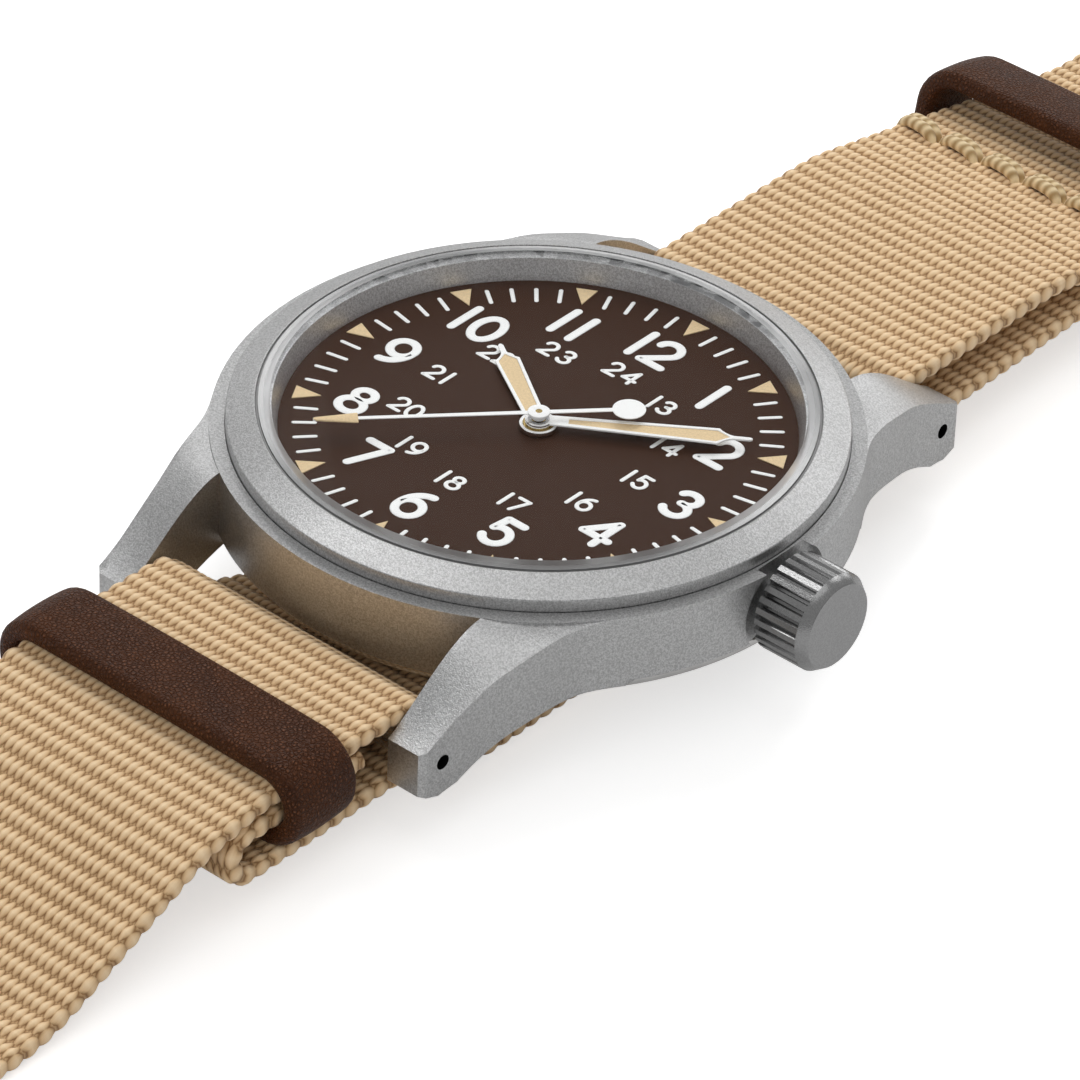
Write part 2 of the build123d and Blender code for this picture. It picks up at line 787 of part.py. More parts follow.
def make_mid_case():
    band_bevel_z = glass_top_z - band_bevel_drop
    step_radius = bezel_radius + running_gap
    band = turned([
        (case_bore_radius, band_bottom_z), (band_bottom_radius, band_bottom_z), (case_radius, band_bevel_z),
        (case_radius, ledge_z), (step_radius, ledge_z), (step_radius, shoulder_z),
        (case_bore_radius, shoulder_z)])
    lugs = four_ways(make_lug())
    lugs -= disc(step_radius, shoulder_z, glass_top_z)
    lugs -= disc(case_bore_radius, 0, glass_top_z)
    lugs -= disc(back_rim_radius + running_gap, 0, band_bottom_z)
    body = band + lugs
    body -= rod_x(crown_pocket_radius, crown_pocket_x, crown_pocket_x + crown_end_x, 0, crown_z)
    body -= rod_x(crown_tube_radius, 0, crown_end_x, 0, crown_z)
    for side in (-1, 1):
        body -= rod_x(lug_hole_radius, -case_radius, case_radius, side * bar_axis_y, bar_z)
    return body


def make_case_back():
    rim_bottom_z = band_bottom_z - back_rim_height
    cone_z = back_bottom_z + back_cone_height
    floor_z = back_bottom_z + back_floor_thickness
    spigot_z = band_bottom_z + back_spigot_height
    return turned([
        (0, back_bottom_z), (back_flat_radius, back_bottom_z), (back_cone_radius, cone_z),
        (back_rim_radius, rim_bottom_z), (back_rim_radius, band_bottom_z),
        (back_spigot_radius, band_bottom_z),
        (back_spigot_radius, spigot_z), (back_cavity_radius, spigot_z), (back_cavity_radius, floor_z),
        (0, floor_z)])


def make_crown():
    """Fluted cap: a bevelled rim, a flat end and a bore that takes the tube, the seal and the stem."""
    points = []
    step = 360 / crown_flutes
    flank = step * (1 - crown_flute_share) / 4
    for flute in range(crown_flutes):
        middle = flute * step
        half = crown_flute_share * step / 2
        points.append(polar(crown_radius, middle - half))
        points.append(polar(crown_radius, middle + half))
        points.append(polar(crown_root_radius, middle + half + flank))
        points.append(polar(crown_root_radius, middle + step - half - flank))
    fluted = plan(points, 0, crown_flute_length)
    bottom = (Align.CENTER, Align.CENTER, Align.MIN)
    end = Pos(0, 0, crown_flute_length) * Cone(crown_radius, crown_face_radius, crown_bevel_length,
                                               align=bottom)
    bore = disc(crown_bore_radius, -cut_overrun, crown_bore_depth)
    return Pos(crown_start_x, 0, crown_z) * Rot(0, 90, 0) * (fluted + end - bore)


def make_stem():
    """Winding stem: pilot, square for the sliding pinion, and a round shaft that ends in the crown."""
    half = stem_square / 2
    head_x = crown_start_x + crown_bore_depth
    stem = rod_x(stem_pilot_radius, stem_pilot_start_x, stem_square_start_x, 0, crown_z)
    stem += block(stem_square_start_x, stem_square_end_x, -half, half, crown_z - half, crown_z + half)
    stem += rod_x(stem_radius, stem_square_end_x, head_x, 0, crown_z)
    return stem


pieces["mid_case"] = make_mid_case()
pieces["bezel"] = turned([
    (bezel_bore_radius, shoulder_z), (bezel_radius, shoulder_z),
    (bezel_radius, glass_top_z - bezel_edge_drop),
    (bezel_bore_radius, glass_top_z - glass_edge_drop)])
pieces["crystal"] = turned([
    (0, glass_under_z), (glass_radius, glass_under_z), (glass_radius, glass_top_z - glass_edge_drop),
    (glass_flat_radius, glass_top_z), (0, glass_top_z)])
pieces["crystal_gasket"] = ring(bezel_bore_radius - seat_gap, glass_radius + seat_gap, glass_under_z,
                                glass_top_z - 2 * glass_edge_drop)
pieces["rehaut_ring"] = turned([
    (rehaut_foot_radius, dial_z), (case_bore_radius - running_gap, dial_z),
    (case_bore_radius - running_gap, shoulder_z), (bezel_bore_radius - seat_gap, shoulder_z),
    (bezel_bore_radius - seat_gap, glass_under_z), (rehaut_top_radius, glass_under_z)])
pieces["case_back"] = make_case_back()
gasket_low = band_bottom_z + back_spigot_height
pieces["case_back_gasket"] = ring(case_bore_radius - seat_gap, case_bore_radius - back_gasket_width,
                                  gasket_low,
                                  gasket_low + back_gasket_height)
pieces["crown_tube"] = rod_x(crown_tube_radius - seat_gap, crown_tube_start_x, crown_tube_end_x, 0,
                             crown_z) - rod_x(
    crown_tube_bore, 0, crown_end_x, 0, crown_z)
pieces["crown"] = make_crown()
pieces["winding_stem"] = make_stem()
crown_seal = rod_x(crown_seal_radius, crown_seal_start_x, crown_seal_start_x + crown_seal_length, 0,
                   crown_z)
pieces["crown_seal"] = crown_seal - rod_x(crown_tube_radius + seat_gap, 0, crown_end_x, 0, crown_z)


# Dial and markers
dial = ring(dial_radius, dial_hole_radius, dial_back_z, dial_z)
pieces["dial"] = dial
marker_points = [(marker_outer_radius, -marker_width / 2), (marker_outer_radius, marker_width / 2),
                 (marker_outer_radius - marker_length, 0)]
marker = plan(marker_points, dial_z, dial_z + marker_height)
pieces["hour_markers"] = Compound(children=[
    Rot(0, 0, hour * 360 / hours_on_dial) * marker for hour in range(hours_on_dial)])


# Hands
def blade_outline(root, root_width, shoulder, width, point, needle_width, tip):
    """Outline of a hand along +Y: it widens to the shoulder, then hollows to a needle with a round tip."""
    half_needle = needle_width / 2
    half = [(root_width / 2, root), (width / 2, shoulder)]
    half += [(half_needle + (width / 2 - half_needle) * wide, shoulder + (point - shoulder) * reach)
             for reach, wide in hand_taper_shares]
    half += [(half_needle, point), (half_needle, tip - half_needle), (half_needle * hand_tip_share, tip)]
    return half + [(-x, y) for x, y in reversed(half)]


def framed_hand(height, hub_radius, hub_height, root, root_width, shoulder, width, point, needle_width,
                tip, bore):
    """A hand with a frame round a lume window, and its lume."""
    low = dial_z + height
    high = low + hand_thickness
    blade = plan(blade_outline(0, root_width, shoulder, width, point, needle_width, tip), low, high)
    window = [(root_width / 2 - hand_rim, root), (width / 2 - hand_rim, shoulder - hand_rim / 2),
              (0, point - hand_rim)]
    window += [(-x, y) for x, y in reversed(window[:2])]
    blade -= plan(window, low - cut_overrun, high + cut_overrun)
    inset = [(x - lume_gap if x > 0 else x + lume_gap if x < 0 else 0, y) for x, y in window]
    lume = plan(inset, low, low + lume_height)
    hub = disc(hub_radius, high - hub_height, high)
    frame = blade + hub - disc(bore, dial_z, glass_top_z)
    return frame, lume


hour_frame, hour_lume = framed_hand(
    hour_hand_height, hour_hub_radius, hour_hub_height, hour_hand_root, hour_hand_root_width,
    hour_hand_shoulder,
    hour_hand_width, hour_hand_point, hour_hand_needle_width, hour_hand_length, hour_tube_radius)
minute_frame, minute_lume = framed_hand(
    minute_hand_height, minute_hub_radius, minute_hub_height, minute_hand_root, minute_hand_root_width,
    minute_hand_shoulder, minute_hand_width, minute_hand_point, minute_hand_needle_width,
    minute_hand_length,
    cannon_tube_radius)
pieces["hour_hand"] = Rot(0, 0, -hour_hand_angle) * hour_frame
pieces["hour_hand_lume"] = Rot(0, 0, -hour_hand_angle) * hour_lume
pieces["minute_hand"] = Rot(0, 0, -minute_hand_angle) * minute_frame
pieces["minute_hand_lume"] = Rot(0, 0, -minute_hand_angle) * minute_lume


def make_seconds_hand():
    low = dial_z + seconds_hand_height
    high = low + hand_thickness / 2
    root_half = seconds_hand_root_width / 2
    tip_half = seconds_hand_tip_width / 2
    needle = plan([(root_half, 0), (tip_half, seconds_hand_length), (-tip_half, seconds_hand_length),
                   (-root_half, 0)], low, high)
    tail = plan([(root_half, 0), (root_half, -seconds_tail), (-root_half, -seconds_tail), (-root_half, 0)],
                low, high)
    weight = disc(seconds_weight_radius, low, high, 0, -seconds_tail)
    hub_low = dial_z + minute_hand_height + hand_thickness + running_gap
    hub = disc(seconds_hub_radius, low - seconds_hub_height / 2, high + seconds_hub_height / 2)
    hub += disc(seconds_tube_radius, hub_low, low)
    hand = needle + tail + weight + hub - disc(seconds_arbor_radius, 0, glass_under_z)
    lume_half = seconds_lume_width / 2
    lume_start = seconds_hand_length - seconds_lume_length
    lume = plan([(lume_half, lume_start), (tip_half, seconds_hand_length), (-tip_half, seconds_hand_length),
                 (-lume_half, lume_start)], high, high + hand_thickness / 4)
    return Rot(0, 0, -seconds_hand_angle) * hand, Rot(0, 0, -seconds_hand_angle) * lume


pieces["seconds_hand"], pieces["seconds_hand_lume"] = make_seconds_hand()


# Movement: plate, bridges, ring, screws and jewels
pivot_centres = [(third_x, third_y), (escape_x, escape_y)]
fork_to_escape = escape_radius * fork_reach_share
towards_balance = degrees(atan2(balance_y - escape_y, balance_x - escape_x))
fork_x, fork_y = polar(fork_to_escape, towards_balance, escape_x, escape_y)
fork_to_balance = hypot(balance_x - fork_x, balance_y - fork_y)
ratchet_module = crown_wheel_module
ratchet_tip = ratchet_module * (ratchet_teeth / 2 + addendum_share)
click_x, click_y = polar(ratchet_tip + click_seat, click_angle, barrel_x, barrel_y)


def make_main_plate():
    plate = disc(movement_radius, plate_back_z, dial_back_z)
    plate -= disc(hour_wheel_radius + recess_margin, motion_floor_z, dial_z)
    minute_wheel_radius = motion_module * minute_wheel_teeth / 2
    setting_radius = motion_module * setting_wheel_teeth / 2
    plate -= disc(minute_wheel_radius + recess_margin, motion_floor_z, dial_z, minute_wheel_x,
                  minute_wheel_y)
    plate -= disc(setting_radius + recess_margin, motion_floor_z, dial_z, setting_x, setting_y)
    slot_high = dial_back_z + cut_overrun
    slot_low = plate_back_z - cut_overrun
    plate -= block(
        keyless_slot_start_x, keyless_slot_end_x, -keyless_slot_half, keyless_slot_half, slot_low,
        slot_high)
    plate -= rod_x(stem_radius + running_gap, keyless_slot_end_x - cut_overrun,
                   movement_radius + cut_overrun, 0, crown_z)
    plate -= rod_x(stem_pilot_radius + running_gap, stem_pilot_start_x - running_gap,
                   keyless_slot_start_x + cut_overrun, 0, crown_z)
    plate -= disc(centre_arbor_radius + running_gap, 0, dial_z)
    hole_top = plate_back_z + pivot_length + running_gap
    for x, y in pivot_centres + [(fork_x, fork_y), (balance_x, balance_y), (click_x, click_y)]:
        plate -= disc(pivot_radius + running_gap, plate_back_z - cut_overrun, hole_top, x, y)
    plate -= disc(barrel_pivot_radius + running_gap, plate_back_z - cut_overrun, hole_top, barrel_x,
                  barrel_y)
    plate += disc(post_radius, motion_floor_z, motion_floor_z + 2 * wheel_thickness, minute_wheel_x,
                  minute_wheel_y)
    plate += disc(post_radius, motion_floor_z, motion_floor_z + 2 * wheel_thickness, setting_x, setting_y)
    return plate


def feet(angles):
    """Pillars that stand a bridge off the plate."""
    pillars = []
    for angle in angles:
        x, y = polar(foot_circle, angle)
        pillars.append(disc(foot_radius, bridge_back_z, plate_back_z, x, y))
    return pillars


def half_disc(side):
    """One side of the bridge level, split by a line square to the barrel's direction."""
    reach = 2 * bridge_radius
    start = bridge_split + side * bridge_split_gap / 2
    slab = block(start, reach, -reach, reach, bridge_back_z, bridge_top_z)
    if side < 0:
        slab = block(-reach, start, -reach, reach, bridge_back_z, bridge_top_z)
    return disc(bridge_radius, bridge_back_z, bridge_top_z) & (Rot(0, 0, barrel_angle) * slab)


def make_barrel_bridge():
    bridge = half_disc(1) - disc(balance_window_radius, 0, dial_z, balance_x, balance_y)
    for pillar in feet(barrel_feet_angles):
        bridge += pillar
    for angle in barrel_feet_angles:
        x, y = polar(foot_circle, angle)
        bridge -= disc(screw_radius + seat_gap, 0, dial_z, x, y)
    return bridge - disc(barrel_pivot_radius + running_gap, 0, dial_z, barrel_x, barrel_y)


def make_train_bridge():
    bridge = half_disc(-1) - disc(balance_window_radius, 0, dial_z, balance_x, balance_y)
    foot_x, foot_y = polar(foot_circle, cock_foot_angle)
    bridge -= disc(cock_foot_radius + bridge_split_gap, 0, dial_z, foot_x, foot_y)
    direction = degrees(atan2(balance_y - foot_y, balance_x - foot_x))
    bridge -= Pos(foot_x, foot_y, 0) * Rot(0, 0, direction) * block(
        -cock_arm_width, balance_window_radius, -cock_arm_width, cock_arm_room, 0, dial_z)
    bridge -= plan([(balance_x, balance_y), polar(2 * bridge_radius, balance_angle),
                    polar(2 * bridge_radius, barrel_angle + bridge_cut_angle)], 0, dial_z)
    for pillar in feet(train_feet_angles):
        bridge += pillar
    for angle in train_feet_angles:
        x, y = polar(foot_circle, angle)
        bridge -= disc(screw_radius + seat_gap, 0, dial_z, x, y)
    for x, y in [(0, 0)] + pivot_centres:
        bridge -= disc(jewel_radius, 0, dial_z, x, y)
    return bridge


def make_balance_cock():
    foot_x, foot_y = polar(foot_circle, cock_foot_angle)
    direction = degrees(atan2(balance_y - foot_y, balance_x - foot_x))
    length = hypot(balance_x - foot_x, balance_y - foot_y)
    arm = Pos(foot_x, foot_y, 0) * Rot(0, 0, direction) * block(
        0, length, -cock_arm_width / 2, cock_arm_width / 2, bridge_back_z, bridge_top_z + cock_lift)
    cock = arm + disc(cock_tip_radius, bridge_back_z, bridge_top_z + cock_lift, balance_x, balance_y)
    cock += disc(cock_foot_radius, bridge_back_z, bridge_top_z + cock_lift, foot_x, foot_y)
    cock += disc(foot_radius, bridge_back_z, plate_back_z, foot_x, foot_y)
    cock -= disc(screw_radius + seat_gap, 0, dial_z, foot_x, foot_y)
    return cock - disc(jewel_radius, 0, dial_z, balance_x, balance_y)


def make_bridge_screws():
    screws = []
    for angle in barrel_feet_angles + train_feet_angles + (cock_foot_angle,):
        x, y = polar(foot_circle, angle)
        head = disc(screw_head_radius, bridge_back_z - screw_head_height, bridge_back_z, x, y)
        slot = block(x - screw_head_radius, x + screw_head_radius, y - screw_slot_width / 2,
                     y + screw_slot_width / 2,
                     bridge_back_z - screw_head_height, bridge_back_z - screw_head_height / 2)
        screws.append(head - slot + disc(screw_radius, bridge_back_z, plate_back_z, x, y))
    return Compound(children=screws)


def make_jewels():
    stones = []
    bore = pivot_radius + running_gap
    for x, y in [(0, 0)] + pivot_centres:
        hole = centre_arbor_bore if (x, y) == (0, 0) else bore
        stones.append(ring(jewel_radius - seat_gap, hole, bridge_back_z, bridge_top_z, x, y))
    stones.append(ring(jewel_radius - seat_gap, bore, bridge_back_z, bridge_top_z + cock_lift, balance_x,
                       balance_y))
    return Compound(children=stones)


ratchet_low_z = dial_back_z - movement_height * centre_wheel_share
pieces["main_plate"] = make_main_plate()
pieces["barrel_bridge"] = make_barrel_bridge()
pieces["train_bridge"] = make_train_bridge()
pieces["balance_cock"] = make_balance_cock()
pieces["bridge_screws"] = make_bridge_screws()
pieces["jewels"] = make_jewels()
ring_step_z = band_bottom_z + back_spigot_height + back_gasket_height + running_gap
ring_low_z = dial_back_z - movement_height * movement_ring_share
movement_ring = turned([
    (movement_radius + seat_gap, ring_low_z), (back_cavity_radius - running_gap, ring_low_z),
    (back_cavity_radius - running_gap, ring_step_z), (case_bore_radius - running_gap, ring_step_z),
    (case_bore_radius - running_gap, dial_back_z), (movement_radius + seat_gap, dial_back_z)])
movement_ring -= rod_x(stem_radius + running_gap, 0, crown_tube_start_x - running_gap, 0, crown_z)
pieces["movement_ring"] = movement_ring - rod_x(
    crown_tube_radius, crown_tube_start_x - running_gap, case_radius, 0, crown_z)


# Movement: power, train and escapement
def level(depth_share):
    return dial_back_z - movement_height * depth_share


drum_radius = barrel_module * (barrel_teeth / 2 - dedendum_share) - 2 * seat_gap
spring_pitch = (drum_radius - drum_wall - spring_inner - spring_outer_gap) / spring_turns


def spiral(turns, inner, pitch, blade, low, high, x, y):
    """A flat spiral blade whose distance from its centre grows evenly."""
    count = turns * blade_steps
    sides = []
    for side in (-blade / 2, blade / 2):
        sides.append([polar(inner + pitch * step / blade_steps + side, step * 360 / blade_steps, x, y)
                      for step in range(count + 1)])
    return plan(sides[0] + sides[1][::-1], low, high)


barrel_top_z = level(barrel_top_share)
barrel_low_z = barrel_top_z - barrel_height
drum = disc(drum_radius, barrel_low_z, barrel_top_z)
barrel_teeth_z = level(barrel_teeth_share)
drum += gear(barrel_teeth, barrel_module, barrel_teeth_z - barrel_teeth_height / 2,
             barrel_teeth_z + barrel_teeth_height / 2, barrel_phase, flat_tip=False)
drum -= disc(drum_radius - drum_wall, barrel_low_z + wheel_thickness, dial_z)
drum -= disc(barrel_arbor_radius + running_gap, 0, dial_z)
pieces["barrel"] = Pos(barrel_x, barrel_y, 0) * drum
pieces["barrel_cover"] = ring(drum_radius - drum_wall - seat_gap, barrel_arbor_radius + running_gap,
                              barrel_top_z - wheel_thickness, barrel_top_z, barrel_x, barrel_y)
pieces["mainspring"] = spiral(spring_turns, spring_inner, spring_pitch, spring_blade,
                              barrel_low_z + wheel_thickness + running_gap,
                              barrel_top_z - wheel_thickness - running_gap, barrel_x, barrel_y)
barrel_arbor = disc(barrel_arbor_radius, barrel_low_z, barrel_top_z + running_gap, barrel_x, barrel_y)
barrel_arbor += disc(barrel_pivot_radius, bridge_back_z, plate_back_z + pivot_length, barrel_x, barrel_y)
pieces["barrel_arbor"] = barrel_arbor
ratchet_high_z = ratchet_low_z + ratchet_thickness
ratchet = gear(ratchet_teeth, ratchet_module, ratchet_low_z, ratchet_high_z, ratchet_phase, barrel_x,
               barrel_y,
               flat_tip=False)
pieces["ratchet_wheel"] = ratchet - disc(barrel_pivot_radius, 0, dial_z, barrel_x, barrel_y)

centre_low_z = barrel_teeth_z - barrel_teeth_height / 2 - pinion_overhang
centre_wheel_z = level(centre_wheel_share)
centre_wheel = spoked_gear(centre_wheel_teeth, centre_module, centre_wheel_z,
                           centre_wheel_z + wheel_thickness,
                           centre_wheel_phase)
centre_wheel += gear(centre_pinion_leaves, barrel_module, centre_low_z, centre_wheel_z, centre_pinion_phase)
centre_wheel += disc(wheel_hub_radius, centre_wheel_z, plate_back_z - running_gap)
centre_wheel += disc(centre_arbor_radius, centre_low_z, dial_z + minute_hand_height)
pieces["centre_wheel"] = centre_wheel - disc(centre_arbor_bore, 0, glass_top_z)

third_z = level(third_wheel_share)
third_wheel = spoked_gear(third_wheel_teeth, third_module, third_z, third_z + wheel_thickness,
                          third_wheel_phase,
                          third_x, third_y)
third_wheel += gear(third_pinion_leaves, centre_module, centre_wheel_z - pinion_overhang,
                    centre_wheel_z + wheel_thickness + pinion_overhang, third_pinion_phase, third_x,
                    third_y)
pieces["third_wheel"] = third_wheel + arbor(third_x, third_y, bridge_top_z + running_gap,
                                            plate_back_z - running_gap)

fourth_z = level(fourth_wheel_share)
fourth_wheel = spoked_gear(fourth_wheel_teeth, fourth_module, fourth_z, fourth_z + escape_thickness,
                           fourth_wheel_phase)
fourth_wheel += gear(fourth_pinion_leaves, third_module, third_z - pinion_overhang,
                     third_z + wheel_thickness + pinion_overhang, fourth_pinion_phase)
fourth_top_z = dial_z + seconds_hand_height + hand_thickness
pieces["fourth_wheel"] = fourth_wheel + disc(seconds_arbor_radius, bridge_back_z, fourth_top_z)

escape_z = level(escape_wheel_share)


def make_escape_wheel():
    """Fifteen slender teeth on a rim, with a six-leaf pinion near the fourth wheel."""
    points = []
    step = 360 / escape_teeth
    for tooth in range(escape_teeth):
        middle = towards_balance + tooth * step
        points.append(polar(escape_root_radius, middle - escape_tooth_angle, escape_x, escape_y))
        points.append(polar(escape_radius, middle, escape_x, escape_y))
        points.append(polar(escape_root_radius, middle + escape_tooth_angle, escape_x, escape_y))
    wheel = plan(points, escape_z, escape_z + escape_thickness)
    inner_radius = escape_root_radius - escape_rim
    cross = block(-inner_radius, inner_radius, -spoke_width / 2, spoke_width / 2, escape_z,
                  escape_z + escape_thickness)
    window = disc(inner_radius, escape_z - cut_overrun, escape_z + cut_overrun, escape_x, escape_y)
    wheel -= window
    for turn in (0, 90):
        wheel += Pos(escape_x, escape_y, 0) * Rot(0, 0, turn) * cross
    wheel += gear(escape_pinion_leaves, fourth_module, fourth_z - pinion_overhang,
                  fourth_z + escape_thickness + pinion_overhang, escape_pinion_phase, escape_x, escape_y)
    return wheel + arbor(escape_x, escape_y, bridge_top_z + running_gap, plate_back_z - running_gap)


pieces["escape_wheel"] = make_escape_wheel()

fork_z = level(fork_share)
fork_low_z = fork_z - wheel_thickness


def make_pallet_fork():
    """Two arms with a stone each beside the escape wheel, and a lever with a forked end."""
    high = fork_z + fork_thickness
    lever_end = fork_to_balance - impulse_radius - fork_horn_length / 2
    lever = block(0, lever_end, -fork_arm / 2, fork_arm / 2, fork_z, high)
    for side in (-1, 1):
        near = side * fork_slot / 2
        far = side * (fork_slot / 2 + fork_horn)
        lever += block(lever_end - fork_horn, lever_end + fork_horn_length, min(near, far), max(near, far),
                       fork_z, high)
    lever += disc(fork_arm, fork_z, high)
    stone_start = escape_radius + stone_gap
    for side in (-1, 1):
        stone = block(stone_start, stone_start + stone_length, -stone_width / 2, stone_width / 2, fork_z,
                      high)
        lever += Pos(-fork_to_escape, 0, 0) * Rot(0, 0, side * stone_angle) * stone
        end_x, end_y = polar(stone_start + stone_length - stone_width / 2, side * stone_angle,
                             -fork_to_escape, 0)
        arm = block(0, hypot(end_x, end_y), -stone_width / 2, stone_width / 2, fork_z, high)
        lever += Rot(0, 0, degrees(atan2(end_y, end_x))) * arm
    return Pos(fork_x, fork_y, 0) * Rot(0, 0, towards_balance) * lever + arbor(
        fork_x, fork_y, fork_low_z, plate_back_z - running_gap)


pieces["pallet_fork"] = make_pallet_fork()

balance_z = level(balance_share)


def make_balance():
    """Rim, two arms, staff, roller and the impulse pin that stands in the fork."""
    high = balance_z + balance_height
    wheel = ring(balance_radius, balance_radius - balance_rim_width, balance_z, high)
    arm = block(-balance_radius + balance_rim_width / 2, balance_radius - balance_rim_width / 2,
                -spoke_width,
                spoke_width, balance_z, balance_z + wheel_thickness)
    wheel += arm + disc(roller_radius, balance_z, balance_z + wheel_thickness)
    roller_z = fork_z - roller_gap - roller_thickness
    wheel += disc(arbor_radius * 2, balance_z, roller_z)
    wheel += disc(roller_radius, roller_z, roller_z + roller_thickness)
    wheel += disc(impulse_pin_radius, roller_z, fork_z + fork_thickness, -impulse_radius, 0)
    wheel += arbor(0, 0, bridge_top_z + cock_lift + running_gap, plate_back_z - running_gap, arbor_radius)
    return Pos(balance_x, balance_y, 0) * Rot(0, 0, towards_balance) * wheel


pieces["balance_wheel"] = make_balance()
hairspring_z = level(hairspring_share)
cock_foot_x, cock_foot_y = polar(foot_circle, cock_foot_angle)
cock_direction = degrees(atan2(cock_foot_y - balance_y, cock_foot_x - balance_x))
hair_reach = hair_inner + hair_turns * hair_pitch
hairspring_top_z = hairspring_z + hairspring_height
hairspring = spiral(hair_turns, hair_inner, hair_pitch, hair_blade, hairspring_z, hairspring_top_z, 0, 0)
hairspring += disc(hair_stud_radius, bridge_top_z + cock_lift, hairspring_top_z, hair_reach, 0)
pieces["hairspring"] = Pos(balance_x, balance_y, 0) * Rot(0, 0, cock_direction) * hairspring

# Movement: motion work under the dial
motion_z = motion_floor_z + running_gap
cannon = gear(cannon_leaves, motion_module, motion_z, motion_z + wheel_thickness, cannon_phase)
cannon += disc(cannon_tube_radius, motion_z, dial_z + minute_hand_height + hand_thickness)
pieces["cannon_pinion"] = cannon - disc(cannon_bore, 0, glass_top_z)
minute_wheel = gear(minute_wheel_teeth, motion_module, motion_z, motion_z + wheel_thickness,
                    minute_wheel_phase,
                    minute_wheel_x, minute_wheel_y, flat_tip=False)
hour_wheel_z = motion_z + wheel_thickness + 2 * running_gap
minute_wheel += gear(minute_pinion_leaves, hour_module, motion_z + wheel_thickness,
                     hour_wheel_z + wheel_thickness, minute_pinion_phase, minute_wheel_x, minute_wheel_y)
pieces["minute_wheel"] = minute_wheel - disc(post_radius + running_gap, 0, dial_z, minute_wheel_x,
                                             minute_wheel_y)
hour_wheel = gear(hour_wheel_teeth, hour_module, hour_wheel_z, hour_wheel_z + wheel_thickness,
                  hour_wheel_phase,
                  flat_tip=False)
hour_wheel += disc(hour_tube_radius, hour_wheel_z, dial_z + hour_hand_height + hand_thickness)
pieces["hour_wheel"] = hour_wheel - disc(hour_tube_bore, 0, glass_top_z)
setting_wheel = gear(setting_wheel_teeth, motion_module, motion_z, motion_z + wheel_thickness,
                     setting_phase,
                     setting_x, setting_y, flat_tip=False)
pieces["setting_wheel"] = setting_wheel - disc(post_radius + running_gap, 0, dial_z, setting_x, setting_y)


# Movement: winding work
def make_crown_wheel():
    """A wheel with spur teeth for the ratchet wheel and upright teeth for the winding pinion."""
    low = ratchet_low_z
    high = ratchet_high_z
    wheel = gear(crown_wheel_teeth, crown_wheel_module, low, high, crown_wheel_phase)
    tooth = block(contrate_radius - contrate_band / 2, contrate_radius + contrate_band / 4,
                  -contrate_tooth / 2,
                  contrate_tooth / 2, high, high + contrate_height)
    for number in range(contrate_teeth):
        wheel += Rot(0, 0, number * 360 / contrate_teeth) * tooth
    wheel -= disc(barrel_pivot_radius + running_gap, 0, dial_z)
    return Pos(crown_wheel_x, crown_wheel_y, 0) * wheel


pieces["crown_wheel"] = make_crown_wheel()
crown_wheel_tip = crown_wheel_module * (crown_wheel_teeth / 2 + addendum_share)
bracket_reach = crown_wheel_tip + bracket_pillar_radius + bracket_side_gap
bracket_low_z = ratchet_low_z - bracket_gap - bracket_thickness
bracket_top_z = ratchet_low_z - bracket_gap
bracket = block(
    crown_wheel_x - bracket_half, crown_wheel_x + bracket_half,
    crown_wheel_y - bracket_reach - bracket_half,
    crown_wheel_y + bracket_half, bracket_low_z, bracket_top_z)
bracket += disc(barrel_pivot_radius, bracket_low_z, ratchet_high_z, crown_wheel_x, crown_wheel_y)
pieces["main_plate"] += bracket + disc(
    bracket_pillar_radius, bracket_low_z, plate_back_z, crown_wheel_x, crown_wheel_y - bracket_reach)
winding_phase = 360 / winding_teeth / 2
winding = gear(winding_teeth, contrate_module, 0, winding_length, winding_phase)
winding -= disc(stem_radius + running_gap, -cut_overrun, winding_length + cut_overrun)
pieces["winding_pinion"] = Pos(winding_start_x, 0, crown_z) * Rot(0, 90, 0) * winding


def make_sliding_pinion():
    """A square-bored sleeve with a fork groove and coupling teeth at both ends."""
    sleeve = rod_x(sliding_radius, sliding_start_x, stem_square_end_x, 0, crown_z)
    groove_x = (sliding_start_x + stem_square_end_x) / 2
    groove = rod_x(sliding_radius + cut_overrun, groove_x - sliding_groove, groove_x + sliding_groove, 0,
                   crown_z)
    sleeve -= groove - rod_x(sliding_radius - sliding_groove, 0, case_radius, 0, crown_z)
    half = stem_square / 2 + running_gap
    sleeve -= block(0, case_radius, -half, half, crown_z - half, crown_z + half)
    gap = block(sliding_start_x - cut_overrun, sliding_start_x + sliding_tooth,
                sliding_radius - sliding_tooth,
                sliding_radius + cut_overrun, -sliding_tooth / 2, sliding_tooth / 2)
    for number in range(sliding_teeth):
        sleeve -= Pos(0, 0, crown_z) * Rot(number * 360 / sliding_teeth, 0, 0) * gap
    return sleeve


def make_click():
    """Pawl with its beak at the ratchet wheel's tips and a pin in the plate."""
    beak_x, beak_y = polar(ratchet_tip + click_gap, click_beak_angle, barrel_x, barrel_y)
    heel_x, heel_y = polar(ratchet_tip + click_gap + click_width, click_beak_angle, barrel_x, barrel_y)
    away_x, away_y = polar(click_hub_radius, click_angle, click_x, click_y)
    side_x, side_y = polar(click_hub_radius, click_angle + 180, click_x, click_y)
    outline = [(side_x, side_y), (beak_x, beak_y), (heel_x, heel_y), (away_x, away_y)]
    pawl = plan(outline, ratchet_low_z, ratchet_high_z)
    pawl += disc(click_hub_radius, ratchet_low_z, ratchet_high_z, click_x, click_y)
    pawl -= disc(ratchet_tip + click_gap, 0, dial_z, barrel_x, barrel_y)
    return pawl + disc(pivot_radius, ratchet_low_z, plate_back_z + pivot_length, click_x, click_y)


pieces["sliding_pinion"] = make_sliding_pinion()
pieces["click"] = make_click()


